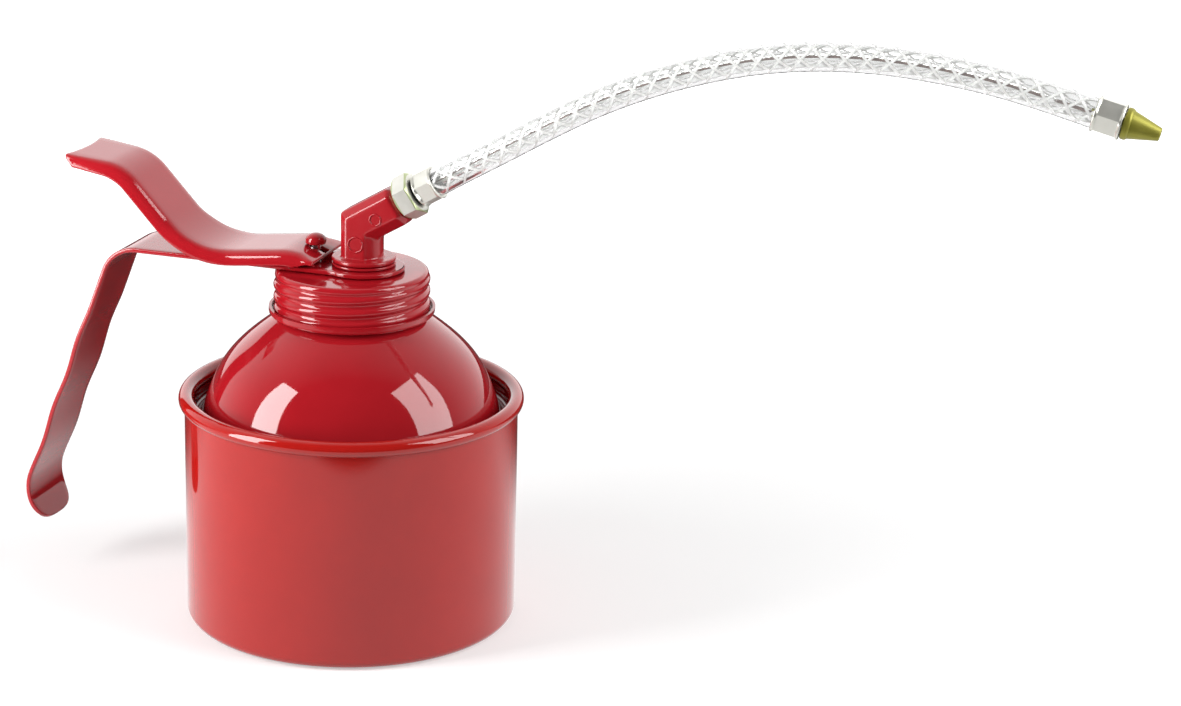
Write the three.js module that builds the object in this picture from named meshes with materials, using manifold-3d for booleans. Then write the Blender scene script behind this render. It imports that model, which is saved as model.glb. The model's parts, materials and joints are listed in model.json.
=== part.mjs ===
// Pump oil can: a drawn steel can with a domed top, a screw cap that carries the hand pump,
// a grip strip with a thumb lever, and a cast elbow with a braided hose and a nozzle.
// Millimetres, +Z up. The origin is the centre of the flat bottom, and +X points to the spout.
import * as THREE from "three";
import { mergeVertices } from "three/addons/utils/BufferGeometryUtils.js";
import Module from "manifold-3d";

const wasm = await Module();
wasm.setup();

// Clearances
const GAP = 0.3; // between pieces that touch
const THREAD_GAP = 0.35; // between the rolled threads of neck and cap
const RUN = 0.4; // round a piece that slides or turns
const MOUTH_CLEARANCE = 0.6; // round the pump where it passes the mouth of the can
const PAST = 1; // how far a cutting shape runs past a face

// Can
const CAN_RADIUS = 48;
const SHEET = 0.8; // steel sheet of cup, dome and cap
const FOOT_RADIUS = 2.5; // round of the bottom edge
const RIM_TOP = 67.7;
const BEAD_RADIUS = 2.2; // rolled bead on the rim
const BEAD_OUTSIDE = 1.7; // how far the bead stands out of the wall
const GUTTER_WIDTH = 4; // drip gutter between dome and wall
const GUTTER_DEPTH = 8.1; // from the rim's top to the gutter's floor
const DOME_RISE = 22.9; // from the rim's top to where the dome runs into the neck
const DOME_TOP_SLOPE = 35.6; // degrees below level at the neck
const DOME_TOP_PULL = 19; // how far the dome keeps that slope
const DOME_SIDE_SLOPE = 17.5; // degrees off upright at the gutter
const DOME_SIDE_PULL = 15;
const NECK_HEIGHT = 10.6;
const NECK_PLAIN = 1; // plain neck under its thread
const NECK_ROUND = 0.6;
const LIP_WIDTH = 1.1; // flat lip round the mouth, which the gasket seals

// Screw cap and its rolled thread
const CAP_WALL_RADIUS = 21.9; // mean outer radius of the threaded wall
const CAP_SHOULDER = 1.2; // round of the top edge
const PITCH = 3.6;
const WAVE = 0.45; // half the depth of the thread
const THREAD_BLEND = 1.2; // height in which a thread runs out
const CURL_ABOVE_DOME = 0.1; // flared and curled lower edge of the cap
const CURL_HEIGHT = 2.3;
const CURL_RADIUS = 0.3; // inner radius of the curl
const GASKET_THICKNESS = 1.1;

// Grip strip
const STRIP_THICKNESS = 1.3;
const STRIP_WIDTH = 21.2;
const STRIP_END_FLARE = 1.2; // by which the round end under the elbow stands past the strip's edge
const GRIP_START = -63; // where the flat strip starts to bend down
const GRIP_BEND = 11.4; // outer radius of that bend
const GRIP_LEAN = 20.9; // degrees off upright
const GRIP_STRAIGHT = 12; // between the bend and the first finger wave
const FINGER_WAVES = 2.5;
const FINGER_PITCH = 23.6;
const FINGER_DEPTH = 0.6;
const TAIL_BEND = 13.6;
const TAIL_TURN = 55; // degrees
const TAIL_LENGTH = 4;
const TIP_ROUND = 9.3; // height of the rounded end
const FULCRUM_RADIUS = 1.05; // raised bead that the lever rocks on

// Thumb lever, from the bead back to the thumb and forward to the rod
const LEVER_THICKNESS = 1.2;
const HEEL_BEND = 23;
const RAMP_SLOPE = 47; // degrees above level
const RAMP_LENGTH = 14.2;
const THUMB_BEND = 15;
const PAD_SLOPE = 6;
const PAD_LENGTH = 12.4;
const LEVER_ARM = 24.9; // from the bead to the rod
const NOSE_PAST_ROD = 3.3;
const FRONT_BEND = 35;
const FRONT_SLOPE = 6.5;
const NOSE_BEND = 18;
const NOSE_SLOPE = 20;
const NOSE_LENGTH = 2.3; // straight end of the nose
const CHEEK_DEPTH = 4.1; // side walls under the top plate
const CHEEK_AT_TIP = 2.9;
const CHEEK_NOSE_TAPER = 6;
const CHEEK_TIP_TAPER = 20;
const NOSE_TO_ELBOW = 2.25; // clear way between the nose and the elbow's flange

// Pump, on the rod's axis
const ROD_RADIUS = 1.5;
const HEAD_RADIUS = 3;
const HEAD_HEIGHT = 3;
const HEAD_RIM = 1; // upright edge of the domed head
const BARREL_RADIUS = 5.6;
const BARREL_WALL = 0.9;
const BARREL_LENGTH = 35.8;
const PUMP_WALL = 1; // metal round the barrel in block and foot valve
const BLOCK_HEIGHT = 9.4;
const BLOCK_GASKET = 0.8;
const SOCKET_DEPTH = 3; // barrel in the block
const CHAMBER_HEIGHT = 2.2;
const WEB = 1; // wall under the gland
const PASSAGE_RADIUS = 0.9;
const GLAND_RADIUS = 4;
const PACKING_HEIGHT = 1.2;
const PISTON_REST = 17; // top of the piston above the barrel's lower end
const PISTON_HEIGHT = 4;
const CUP_HEIGHT = 2.4;
const CUP_WALL = 0.8;
const NUT_HEIGHT = 4.2;
const ROD_STUB = 0.6; // rod below its nut
const SPRING_WIRE = 0.35; // radius of the wire
const SPRING_TURNS = 7;
const FOOT_SOCKET = 4; // inlet valve screwed on the barrel
const FOOT_SEAT = 2.6;
const FOOT_SPIGOT = 3.4;
const BALL_RADIUS = 2.4;
const SEAT_RADIUS = 1.6;
const BALL_LIFT = 1.2;
const CAGE_WALL = 1;
const CAGE_SLOT = 1.1;
const SUCTION_RADIUS = 3;
const SUCTION_BORE = 2;
const SUCTION_BOTTOM = 6;
const STRAINER_WALL = 0.7;
const STRAINER_HEIGHT = 8;
const STRAINER_SLOT = 1.1;

// Elbow and hose fitting, from the elbow's seat
const ELBOW_HALF = 5.7; // half the width of the casting
const ELBOW_CHAMFER = 2.3;
const ELBOW_NECK = 5.7;
const ELBOW_NECK_HEIGHT = 7.9;
const ELBOW_FLANGE = 9.15;
const FLANGE_THICKNESS = 1.3;
const WASHER_THICKNESS = 0.7;
const STUD_RADIUS = 4.2;
const STUD_BORE = 1.8;
const STUD_IN_ELBOW = 6;
const STUD_IN_BLOCK = 3.6;
const SPOUT_ANGLE = 31; // degrees above level
const SPOUT_RISE = 11.8; // where the arm's axis meets the elbow's upright axis
const SPOUT_LENGTH = 13.3;
const SPOUT_ABOVE = 5; // height of the arm above its axis
const SPOUT_BELOW = 6.5;
const STUB_RADIUS = 3.6;
const STUB_LENGTH = 5;
const HEX_FLATS = 11.5;
const HEX_LENGTH = 5.2;
const COLLAR_RADIUS = 3.9;
const COLLAR_LENGTH = 0.7;
const FERRULE_WALL = 0.55;
const FERRULE_CRIMP = 0.3; // how deep its six flats are pressed
const FERRULE_LENGTH = 6.1;
const FERRULE_CHAMFER = 0.4;
const BARB_LENGTH = 9;
const FITTING_BORE = 1.1;

// Hose and nozzle
const HOSE_RADIUS = 4.1;
const HOSE_BORE = 2.1;
const HOSE_LEAD = 2.2; // from the last point of the route to the upper ferrule
const NOZZLE_ANGLE = -13.5; // degrees above level
const NOZZLE_LENGTH = 9.8;
const NOZZLE_BASE = 4.3;
const NOZZLE_TIP = 1.8;
const NOZZLE_ROUND = 1;
const NOZZLE_ROUND_TURN = 60; // degrees of the round before the cone
const NOZZLE_BORE = 0.8;
const UPPER_FERRULE_LENGTH = 7.6;
// Route of the free hose from the elbow's seat, in the plane of the spout, between the ferrules.
const HOSE_ROUTE = [
  [30.9, 30.4], [40.5, 36.1], [54.8, 44.7], [69.1, 52.6], [83.4, 59],
  [97.6, 64], [111.1, 67.6], [124.5, 69.9], [138.1, 71], [151.6, 70.9],
  [165.1, 69.8], [178.5, 67.9], [190.4, 65.4], [201.7, 62.6],
];

// Facets
const CAN_SIDES = 30;
const ROUND_SIDES = 20;
const SMALL_SIDES = 12;
const SPRING_SIDES = 5;
const SPRING_STEPS = 8; // in one turn
const HOSE_SIDES = 10;
const HOSE_STEPS = 16;
const BALL_SIDES = 8;
const THREAD_ROWS = 4; // rows of points in one pitch
const DOME_STEPS = 7;
const FINGER_STEPS = 8; // in one wave
const ROUND_STEP = 30; // degrees between the points of a small round
const CURL_STEP = 60;
const BEND_STEP = 8; // degrees between the points of a long bend

// Materials
const paint = (name, color, roughness, metalness) =>
  new THREE.MeshStandardMaterial({ name, color, roughness, metalness });
const redPaint = () => paint("red paint", 0xb81e28, 0.22, 0);
const brass = () => paint("brass", 0xb08d45, 0.35, 1);
const steel = () => paint("steel", 0x9a9da1, 0.35, 1);
const zinc = () => paint("zinc plate", 0xd9dcc8, 0.3, 1);
const chromate = () => paint("yellow chromate", 0x9a9a4e, 0.35, 1);
const rubber = () => paint("rubber", 0x1d1d1e, 0.8, 0);
const fibre = () => paint("fibre", 0x6d4a33, 0.8, 0);
const clearHose = () => paint("braided hose", 0xd4d5d2, 0.3, 0);

// Solids by boolean
const rad = THREE.MathUtils.degToRad;

function solid(geometry) {
  const bare = geometry.clone();
  for (const name of Object.keys(bare.attributes)) {
    if (name !== "position") bare.deleteAttribute(name);
  }
  const merged = mergeVertices(bare, 1e-4);
  const corners = merged.index.array;
  const kept = [];
  for (let i = 0; i < corners.length; i += 3) {
    const [a, b, c] = [corners[i], corners[i + 1], corners[i + 2]];
    if (a !== b && b !== c && c !== a) kept.push(a, b, c);
  }
  const made = (triangles) =>
    new wasm.Manifold(
      new wasm.Mesh({
        numProp: 3,
        vertProperties: new Float32Array(merged.attributes.position.array),
        triVerts: new Uint32Array(triangles),
      }),
    );
  const first = made(kept);
  return first.volume() < 0 ? made(kept.reverse()) : first;
}

function geometryOf(manifold) {
  const mesh = manifold.getMesh();
  const geometry = new THREE.BufferGeometry();
  geometry.setAttribute("position", new THREE.BufferAttribute(mesh.vertProperties, 3));
  geometry.setIndex(new THREE.BufferAttribute(mesh.triVerts, 1));
  return geometry;
}

const join = (first, ...rest) => rest.reduce((sum, next) => sum.add(next), first);
const cut = (first, ...rest) => rest.reduce((left, next) => left.subtract(next), first);

// Round shapes: a profile of [radius, height] pairs turned about the Z axis
function turned(profile, sides) {
  const first = profile[0];
  const last = profile[profile.length - 1];
  const onAxis = first[0] === 0 && last[0] === 0;
  const points = (onAxis ? profile : [...profile, first]).map(([r, z]) => new THREE.Vector2(r, z));
  return new THREE.LatheGeometry(points, sides).rotateX(Math.PI / 2);
}

const rod = (radius, from, to, sides = ROUND_SIDES) =>
  solid(turned([[0, from], [radius, from], [radius, to], [0, to]], sides));

const pipe = (bore, radius, from, to, sides = ROUND_SIDES) =>
  solid(turned([[bore, from], [radius, from], [radius, to], [bore, to]], sides));

const moved = (manifold, x, y, z) => solid(geometryOf(manifold).translate(x, y, z));

function arc(centreR, centreZ, radius, fromDegrees, toDegrees, step = ROUND_STEP) {
  const steps = Math.ceil(Math.abs(toDegrees - fromDegrees) / step);
  const points = [];
  for (let i = 0; i <= steps; i++) {
    const angle = rad(fromDegrees + ((toDegrees - fromDegrees) * i) / steps);
    points.push([centreR + radius * Math.cos(angle), centreZ + radius * Math.sin(angle)]);
  }
  return points;
}

function line(from, to, steps) {
  const points = [];
  for (let i = 0; i <= steps; i++) {
    const share = i / steps;
    points.push([from[0] + (to[0] - from[0]) * share, from[1] + (to[1] - from[1]) * share]);
  }
  return points;
}

const SHARPEST = 0.5; // cosine of the sharpest half corner that keeps its full thickness

// A path walked from a point and a heading: straight ahead, or round a bend, left turns positive.
function walk(start, heading, moves) {
  const points = [start];
  for (const { ahead, bend, turn } of moves) {
    const [x, z] = points[points.length - 1];
    if (ahead) {
      points.push([x + ahead * Math.cos(rad(heading)), z + ahead * Math.sin(rad(heading))]);
      continue;
    }
    const inward = heading + 90 * Math.sign(turn);
    const centre = [x + bend * Math.cos(rad(inward)), z + bend * Math.sin(rad(inward))];
    const from = inward + 180;
    points.push(...arc(centre[0], centre[1], bend, from, from + turn, BEND_STEP).slice(1));
    heading += turn;
  }
  return points;
}

// The points of a path moved sideways, to the right of its direction, by a distance at each point.
function besideBy(path, distanceAt) {
  return path.map((point, i) => {
    const before = path[Math.max(i - 1, 0)];
    const after = path[Math.min(i + 1, path.length - 1)];
    const into = new THREE.Vector2(point[0] - before[0], point[1] - before[1]);
    const out = new THREE.Vector2(after[0] - point[0], after[1] - point[1]);
    if (into.length() === 0) into.copy(out);
    if (out.length() === 0) out.copy(into);
    into.normalize();
    out.normalize();
    const mean = into.clone().add(out).normalize();
    const stretch = distanceAt(point) / Math.max(mean.dot(into), SHARPEST);
    return [point[0] + mean.y * stretch, point[1] - mean.x * stretch];
  });
}

const beside = (path, distance) => besideBy(path, () => distance);

const sheetProfile = (path, thickness) => [...path, ...beside(path, thickness).reverse()];

// Share of the full thread at a height: it runs out at both ends of its wall.
function threadShare(z, bottom, top) {
  const low = THREE.MathUtils.smoothstep(z, bottom, bottom + THREAD_BLEND);
  const high = THREE.MathUtils.smoothstep(top - z, 0, THREAD_BLEND);
  return { low, high };
}

// Rows of a wall that takes a thread, from its top down, with its runout set in or out at an end.
function threadWall(radius, bottom, top, outAtBottom, outAtTop) {
  const rows = Math.ceil(((top - bottom) / PITCH) * THREAD_ROWS);
  return line([radius, top], [radius, bottom], rows).map(([r, z]) => {
    const { low, high } = threadShare(z, bottom, top);
    return [r + outAtBottom * (1 - low) + outAtTop * (1 - high), z];
  });
}

// Rolls the helical thread into a turned wall: ridge height follows the angle, one pitch a turn.
function rollThread(geometry, bottom, top, reach) {
  const position = geometry.attributes.position;
  for (let i = 0; i < position.count; i++) {
    const [x, y, z] = [position.getX(i), position.getY(i), position.getZ(i)];
    const radius = Math.hypot(x, y);
    if (radius > reach || z < bottom || z > top) continue;
    const { low, high } = threadShare(z, bottom, top);
    const wave = WAVE * low * high * Math.cos((2 * Math.PI * z) / PITCH - Math.atan2(y, x));
    position.setX(i, (x * (radius + wave)) / radius);
    position.setY(i, (y * (radius + wave)) / radius);
  }
  return geometry;
}

// Flat shapes: an outline of [x, z] pairs, as thick as the width across the Y axis
function slab(outline, width, bevel = 0) {
  const shape = new THREE.Shape(outline.map(([x, z]) => new THREE.Vector2(x, z)));
  const geometry = new THREE.ExtrudeGeometry(shape, {
    depth: width - 2 * bevel,
    bevelEnabled: bevel > 0,
    bevelThickness: bevel,
    bevelSize: bevel,
    bevelOffset: -bevel,
    bevelSegments: 1,
    steps: 1,
  });
  return solid(geometry.translate(0, 0, bevel - width / 2).rotateX(Math.PI / 2));
}

// The same, with an outline of [x, y] pairs and a height.
function plate(shape, from, to, curveSegments = ROUND_SIDES) {
  const geometry = new THREE.ExtrudeGeometry(shape, {
    depth: to - from,
    bevelEnabled: false,
    curveSegments,
  });
  return solid(geometry.translate(0, 0, from));
}

function stadium(fromX, toX, radius) {
  const shape = new THREE.Shape();
  shape.absarc(toX, 0, radius, -Math.PI / 2, Math.PI / 2, false);
  shape.absarc(fromX, 0, radius, Math.PI / 2, (3 * Math.PI) / 2, false);
  return shape;
}

// Corners of a regular polygon.
function ring(radius, sides) {
  const corners = [];
  for (let i = 0; i < sides; i++) {
    const angle = (2 * Math.PI * i) / sides;
    corners.push(new THREE.Vector2(radius * Math.cos(angle), radius * Math.sin(angle)));
  }
  return corners;
}

const hexagon = (flats) => new THREE.Shape(ring(flats / Math.sqrt(3), 6));

// Height of a path of [x, z] pairs, in rising order of x, at one x
function heightAt(path, x) {
  const after = path.findIndex((point) => point[0] >= x);
  const [low, high] = [path[after - 1], path[after]];
  return low[1] + ((high[1] - low[1]) * (x - low[0])) / (high[0] - low[0]);
}

// The assembly
const oilCan = new THREE.Group();

function add(name, material, manifold, parent = oilCan) {
  const mesh = new THREE.Mesh(geometryOf(manifold), material);
  mesh.name = name;
  parent.add(mesh);
  return mesh;
}

// Can: cup and dome
const wallInside = CAN_RADIUS - SHEET;
const beadR = CAN_RADIUS + BEAD_OUTSIDE - BEAD_RADIUS;
const beadZ = RIM_TOP - BEAD_RADIUS;
const beadStart = -THREE.MathUtils.radToDeg(Math.acos((CAN_RADIUS - beadR) / BEAD_RADIUS));
const beadEnd = 360 - THREE.MathUtils.radToDeg(Math.acos((wallInside - beadR) / BEAD_RADIUS));
const footR = CAN_RADIUS - FOOT_RADIUS;

add(
  "can_cup",
  redPaint(),
  solid(
    turned(
      [
        [0, 0],
        ...arc(footR, FOOT_RADIUS, FOOT_RADIUS, -90, 0),
        ...arc(beadR, beadZ, BEAD_RADIUS, beadStart, beadEnd),
        ...arc(footR, FOOT_RADIUS, FOOT_RADIUS - SHEET, 0, -90),
        [0, SHEET],
      ],
      CAN_SIDES,
    ),
  ),
);

const neckWall = CAP_WALL_RADIUS - SHEET - THREAD_GAP; // mean outer radius of the neck
const neckLipR = neckWall - WAVE;
const mouthR = neckLipR - NECK_ROUND - LIP_WIDTH;
const domeTop = RIM_TOP + DOME_RISE;
const neckTop = domeTop + NECK_HEIGHT;
const neckThreadBottom = domeTop + NECK_PLAIN;
const neckThreadTop = neckTop - NECK_ROUND;
const flangeFace = wallInside - GAP - SHEET; // inner face of the dome's edge
const flangeEdge = RIM_TOP - 2 * BEAD_RADIUS - GAP; // under the bead
const gutterFloor = RIM_TOP - GUTTER_DEPTH;
const domeFootR = wallInside - GUTTER_WIDTH;
const gutterRound = (flangeFace - domeFootR) / 2;
const gutterR = flangeFace - gutterRound;
const domeFoot = new THREE.Vector2(domeFootR, gutterFloor + gutterRound);
const domeHead = new THREE.Vector2(neckWall, domeTop);
const domeSide = new THREE.Vector2(-Math.sin(rad(DOME_SIDE_SLOPE)), Math.cos(rad(DOME_SIDE_SLOPE)));
const domeFall = new THREE.Vector2(Math.cos(rad(DOME_TOP_SLOPE)), -Math.sin(rad(DOME_TOP_SLOPE)));
const domeCurve = new THREE.CubicBezierCurve(
  domeHead,
  domeHead.clone().addScaledVector(domeFall, DOME_TOP_PULL),
  domeFoot.clone().addScaledVector(domeSide, DOME_SIDE_PULL),
  domeFoot,
);
const domePath = [
  [mouthR, neckTop],
  ...arc(neckLipR - NECK_ROUND, neckThreadTop, NECK_ROUND, 90, 30),
  ...threadWall(neckWall, neckThreadBottom, neckThreadTop, 0, -WAVE),
  ...domeCurve.getPoints(DOME_STEPS).map((p) => [p.x, p.y]),
  ...arc(gutterR, gutterFloor + gutterRound, gutterRound, 225, 360),
  [flangeFace, flangeEdge],
];

add(
  "can_dome",
  redPaint(),
  solid(
    rollThread(
      turned(sheetProfile(domePath, SHEET), CAN_SIDES),
      neckThreadBottom,
      neckThreadTop,
      neckWall + GAP,
    ),
  ),
);

// Pump head: cap, gasket and grip strip
const pumpHead = new THREE.Group();
oilCan.add(pumpHead);

const gasketTop = neckTop + GAP + GASKET_THICKNESS;
const capUnderside = gasketTop + GAP;
const capTop = capUnderside + SHEET;
const capWallTop = capTop - CAP_SHOULDER;
const skirtR = CAP_WALL_RADIUS + WAVE;
const curlBottom = domeTop + CURL_ABOVE_DOME;
const curlZ = curlBottom + SHEET + CURL_RADIUS;
const curlR = skirtR + CURL_RADIUS;
const capThreadBottom = curlZ + GAP;
const capPath = [
  [0, capTop],
  ...arc(CAP_WALL_RADIUS - CAP_SHOULDER, capWallTop, CAP_SHOULDER, 90, 0),
  ...threadWall(CAP_WALL_RADIUS, capThreadBottom, capWallTop, WAVE, 0).slice(1),
  ...arc(curlR, curlZ, CURL_RADIUS, 180, 360, CURL_STEP),
  [curlR + CURL_RADIUS, curlBottom + CURL_HEIGHT],
];

// Places along the strip: the pump beside the mouth's edge, then the lever's bead and the elbow
const pumpRadius = BARREL_RADIUS + GAP + PUMP_WALL;
const rodX = -(mouthR - MOUTH_CLEARANCE - pumpRadius);
const fulcrumX = rodX - LEVER_ARM;
const noseX = rodX + NOSE_PAST_ROD;
const elbowX = noseX + NOSE_TO_ELBOW + ELBOW_FLANGE;
const stripBottom = capTop + GAP;
const stripTop = stripBottom + STRIP_THICKNESS;
const rodHole = (from, to) => moved(rod(ROD_RADIUS + RUN, from, to, SMALL_SIDES), rodX, 0, 0);
const studHole = (from, to) => moved(rod(STUD_RADIUS + GAP, from, to), elbowX, 0, 0);

const capProfile = sheetProfile(capPath, SHEET);
capProfile[capProfile.length - 1][0] = 0;
const capShell = rollThread(turned(capProfile, CAN_SIDES), capThreadBottom, capWallTop, skirtR + GAP / 2);
add(
  "screw_cap",
  redPaint(),
  cut(
    solid(capShell),
    rodHole(capUnderside - PAST, capTop + PAST),
    studHole(capUnderside - PAST, capTop + PAST),
  ),
  pumpHead,
);

add(
  "cap_gasket",
  rubber(),
  pipe(mouthR, mouthR + LIP_WIDTH, neckTop + GAP, gasketTop, CAN_SIDES),
  pumpHead,
);

// Outer face of the grip: flat strip, bend, finger waves, and a tail that turns in.
const gripBend = walk([GRIP_START, stripTop], 180, [
  { bend: GRIP_BEND, turn: 90 - GRIP_LEAN },
  { ahead: GRIP_STRAIGHT },
]);
const gripHeading = 270 - GRIP_LEAN;
const wavesFrom = gripBend[gripBend.length - 1];
const wavesTo = walk(wavesFrom, gripHeading, [{ ahead: FINGER_WAVES * FINGER_PITCH }])[1];
const outward = [Math.cos(rad(gripHeading - 90)), Math.sin(rad(gripHeading - 90))];
const fingerWaves = line(wavesFrom, wavesTo, FINGER_WAVES * FINGER_STEPS).map(([x, z], i) => {
  const swell = (FINGER_DEPTH / 2) * (1 - Math.cos((2 * Math.PI * i) / FINGER_STEPS));
  return [x + outward[0] * swell, z + outward[1] * swell];
});
const gripTail = walk(fingerWaves[fingerWaves.length - 1], gripHeading, [
  { bend: TAIL_BEND, turn: TAIL_TURN },
  { ahead: TAIL_LENGTH },
]);
const gripOutside = [
  [elbowX, stripTop],
  ...gripBend,
  ...fingerWaves.slice(1),
  ...gripTail.slice(1),
];
const gripBand = slab(sheetProfile(gripOutside.slice().reverse(), STRIP_THICKNESS), STRIP_WIDTH);

// What is kept of the band: all but the corners of its rounded lower end, seen from behind.
function gripTip() {
  const half = STRIP_WIDTH / 2 + GAP;
  const [, low] = gripTail[gripTail.length - 1];
  const shape = new THREE.Shape();
  shape.moveTo(half, stripTop + PAST);
  shape.lineTo(-half, stripTop + PAST);
  shape.lineTo(-half, low + TIP_ROUND);
  shape.absellipse(0, low + TIP_ROUND, half, TIP_ROUND + GAP, Math.PI, 2 * Math.PI, false);
  const back = Math.min(...gripOutside.map(([x]) => x)) - STRIP_THICKNESS;
  const geometry = new THREE.ExtrudeGeometry(shape, {
    depth: elbowX + PAST - back,
    bevelEnabled: false,
    curveSegments: SMALL_SIDES,
  });
  return solid(geometry.rotateX(Math.PI / 2).rotateZ(Math.PI / 2).translate(back, 0, 0));
}

const fulcrumBead = solid(
  new THREE.CylinderGeometry(FULCRUM_RADIUS, FULCRUM_RADIUS, STRIP_WIDTH - 2 * FULCRUM_RADIUS, SMALL_SIDES)
    .translate(fulcrumX, 0, stripTop),
);
const stripMiddle = (stripBottom + stripTop) / 2;
const aboveStrip = slab(
  [
    [fulcrumX - 2 * FULCRUM_RADIUS, stripMiddle],
    [fulcrumX + 2 * FULCRUM_RADIUS, stripMiddle],
    [fulcrumX + 2 * FULCRUM_RADIUS, stripTop + 2 * FULCRUM_RADIUS],
    [fulcrumX - 2 * FULCRUM_RADIUS, stripTop + 2 * FULCRUM_RADIUS],
  ],
  STRIP_WIDTH,
);
const stripEndRadius = STRIP_WIDTH / 2 + STRIP_END_FLARE;
add(
  "grip_handle",
  redPaint(),
  cut(
    join(
      gripBand.intersect(gripTip()),
      moved(rod(stripEndRadius, stripBottom, stripTop, CAN_SIDES), elbowX, 0, 0),
      fulcrumBead.intersect(aboveStrip),
    ),
    rodHole(stripBottom - PAST, stripTop + PAST),
    studHole(stripBottom - PAST, stripTop + PAST),
  ),
  pumpHead,
);

// Thumb lever: a channel that straddles the strip and rocks on its bead
const belly = stripTop + FULCRUM_RADIUS + GAP + LEVER_THICKNESS; // top of the plate over the bead
const channelWidth = STRIP_WIDTH + 2 * GAP;
const leverWidth = channelWidth + 2 * LEVER_THICKNESS;
const leverBack = walk([fulcrumX, belly], 180, [
  { bend: HEEL_BEND, turn: -RAMP_SLOPE },
  { ahead: RAMP_LENGTH },
  { bend: THUMB_BEND, turn: RAMP_SLOPE - PAD_SLOPE },
  { ahead: PAD_LENGTH },
]);
const frontRun = Math.sin(rad(FRONT_SLOPE)) * (FRONT_BEND + NOSE_BEND);
const noseRun = Math.sin(rad(NOSE_SLOPE)) * NOSE_BEND + Math.cos(rad(NOSE_SLOPE)) * NOSE_LENGTH;
const leverFront = walk([fulcrumX, belly], 0, [
  { bend: FRONT_BEND, turn: FRONT_SLOPE },
  { ahead: (noseX - fulcrumX - frontRun - noseRun) / Math.cos(rad(FRONT_SLOPE)) },
  { bend: NOSE_BEND, turn: -FRONT_SLOPE - NOSE_SLOPE },
  { ahead: NOSE_LENGTH },
]);
const leverTop = [...leverBack.slice(1).reverse(), ...leverFront];
const leverTipX = leverTop[0][0];

// The side walls are shallow at the nose and at the thumb's end.
function cheekDepth([x]) {
  const atNose = THREE.MathUtils.smoothstep(noseX - x, 0, CHEEK_NOSE_TAPER);
  const atTip = THREE.MathUtils.smoothstep(x - leverTipX, 0, CHEEK_TIP_TAPER);
  const fromTip = THREE.MathUtils.lerp(CHEEK_AT_TIP, CHEEK_DEPTH, atTip);
  return THREE.MathUtils.lerp(LEVER_THICKNESS, fromTip, atNose);
}
const cheekBottom = besideBy(leverTop, cheekDepth).reverse();
const plateUnder = beside(leverTop, LEVER_THICKNESS);
const below = stripBottom - CHEEK_DEPTH;
plateUnder[0][0] = leverTipX - PAST;
plateUnder[plateUnder.length - 1][0] = noseX + PAST;
const channel = slab([...plateUnder, [noseX + PAST, below], [leverTipX - PAST, below]], channelWidth);
const forkHalf = ROD_RADIUS + RUN;
const forkTop = belly + FRONT_BEND;
const fork = plate(stadium(rodX, noseX + forkHalf + PAST, forkHalf), below, forkTop, SMALL_SIDES);
add("thumb_lever", redPaint(), cut(slab([...leverTop, ...cheekBottom], leverWidth), channel, fork), pumpHead);

// Pump under the cap, on the rod's axis
const pump = new THREE.Group();
pump.position.x = rodX;
pumpHead.add(pump);

const blockTop = capUnderside - BLOCK_GASKET - 2 * GAP;
const blockBottom = blockTop - BLOCK_HEIGHT;
const socketTop = blockBottom + SOCKET_DEPTH;
const chamberTop = socketTop + CHAMBER_HEIGHT;
const glandBottom = chamberTop + WEB;
const barrelBore = BARREL_RADIUS - BARREL_WALL;
const barrelTop = socketTop - GAP;
const barrelBottom = barrelTop - BARREL_LENGTH;
const toElbow = elbowX - rodX;
const passageZ = socketTop + CHAMBER_HEIGHT / 2;
const studBottom = blockTop - STUD_IN_BLOCK;

const passage = solid(
  new THREE.CylinderGeometry(PASSAGE_RADIUS, PASSAGE_RADIUS, toElbow, SMALL_SIDES)
    .rotateZ(Math.PI / 2)
    .translate(toElbow / 2, 0, passageZ),
);
add(
  "pump_block",
  steel(),
  cut(
    plate(stadium(0, toElbow, pumpRadius), blockBottom, blockTop, SMALL_SIDES / 2),
    rod(BARREL_RADIUS + GAP, blockBottom - PAST, socketTop),
    rod(barrelBore, socketTop - PAST, chamberTop),
    rod(ROD_RADIUS + RUN, chamberTop - PAST, glandBottom + PAST, SMALL_SIDES),
    rod(GLAND_RADIUS + GAP, glandBottom, blockTop + PAST),
    moved(rod(STUD_RADIUS + GAP, studBottom - GAP, blockTop + PAST), toElbow, 0, 0),
    moved(rod(STUD_BORE, passageZ, blockTop, SMALL_SIDES), toElbow, 0, 0),
    passage,
  ),
  pump,
);

add(
  "block_gasket",
  fibre(),
  cut(
    plate(stadium(0, toElbow, pumpRadius), blockTop + GAP, capUnderside - GAP, SMALL_SIDES / 2),
    rod(GLAND_RADIUS + GAP, blockTop, capTop),
    moved(rod(STUD_RADIUS + GAP, blockTop, capTop), toElbow, 0, 0),
  ),
  pump,
);

const packingTop = glandBottom + GAP + PACKING_HEIGHT;
add(
  "rod_packing",
  rubber(),
  pipe(ROD_RADIUS + GAP, GLAND_RADIUS, glandBottom + GAP, packingTop, SMALL_SIDES),
  pump,
);
add(
  "rod_gland",
  brass(),
  pipe(ROD_RADIUS + GAP, GLAND_RADIUS, packingTop + GAP, capUnderside - GAP, SMALL_SIDES),
  pump,
);
add("pump_barrel", brass(), pipe(barrelBore, BARREL_RADIUS, barrelBottom, barrelTop), pump);

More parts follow.
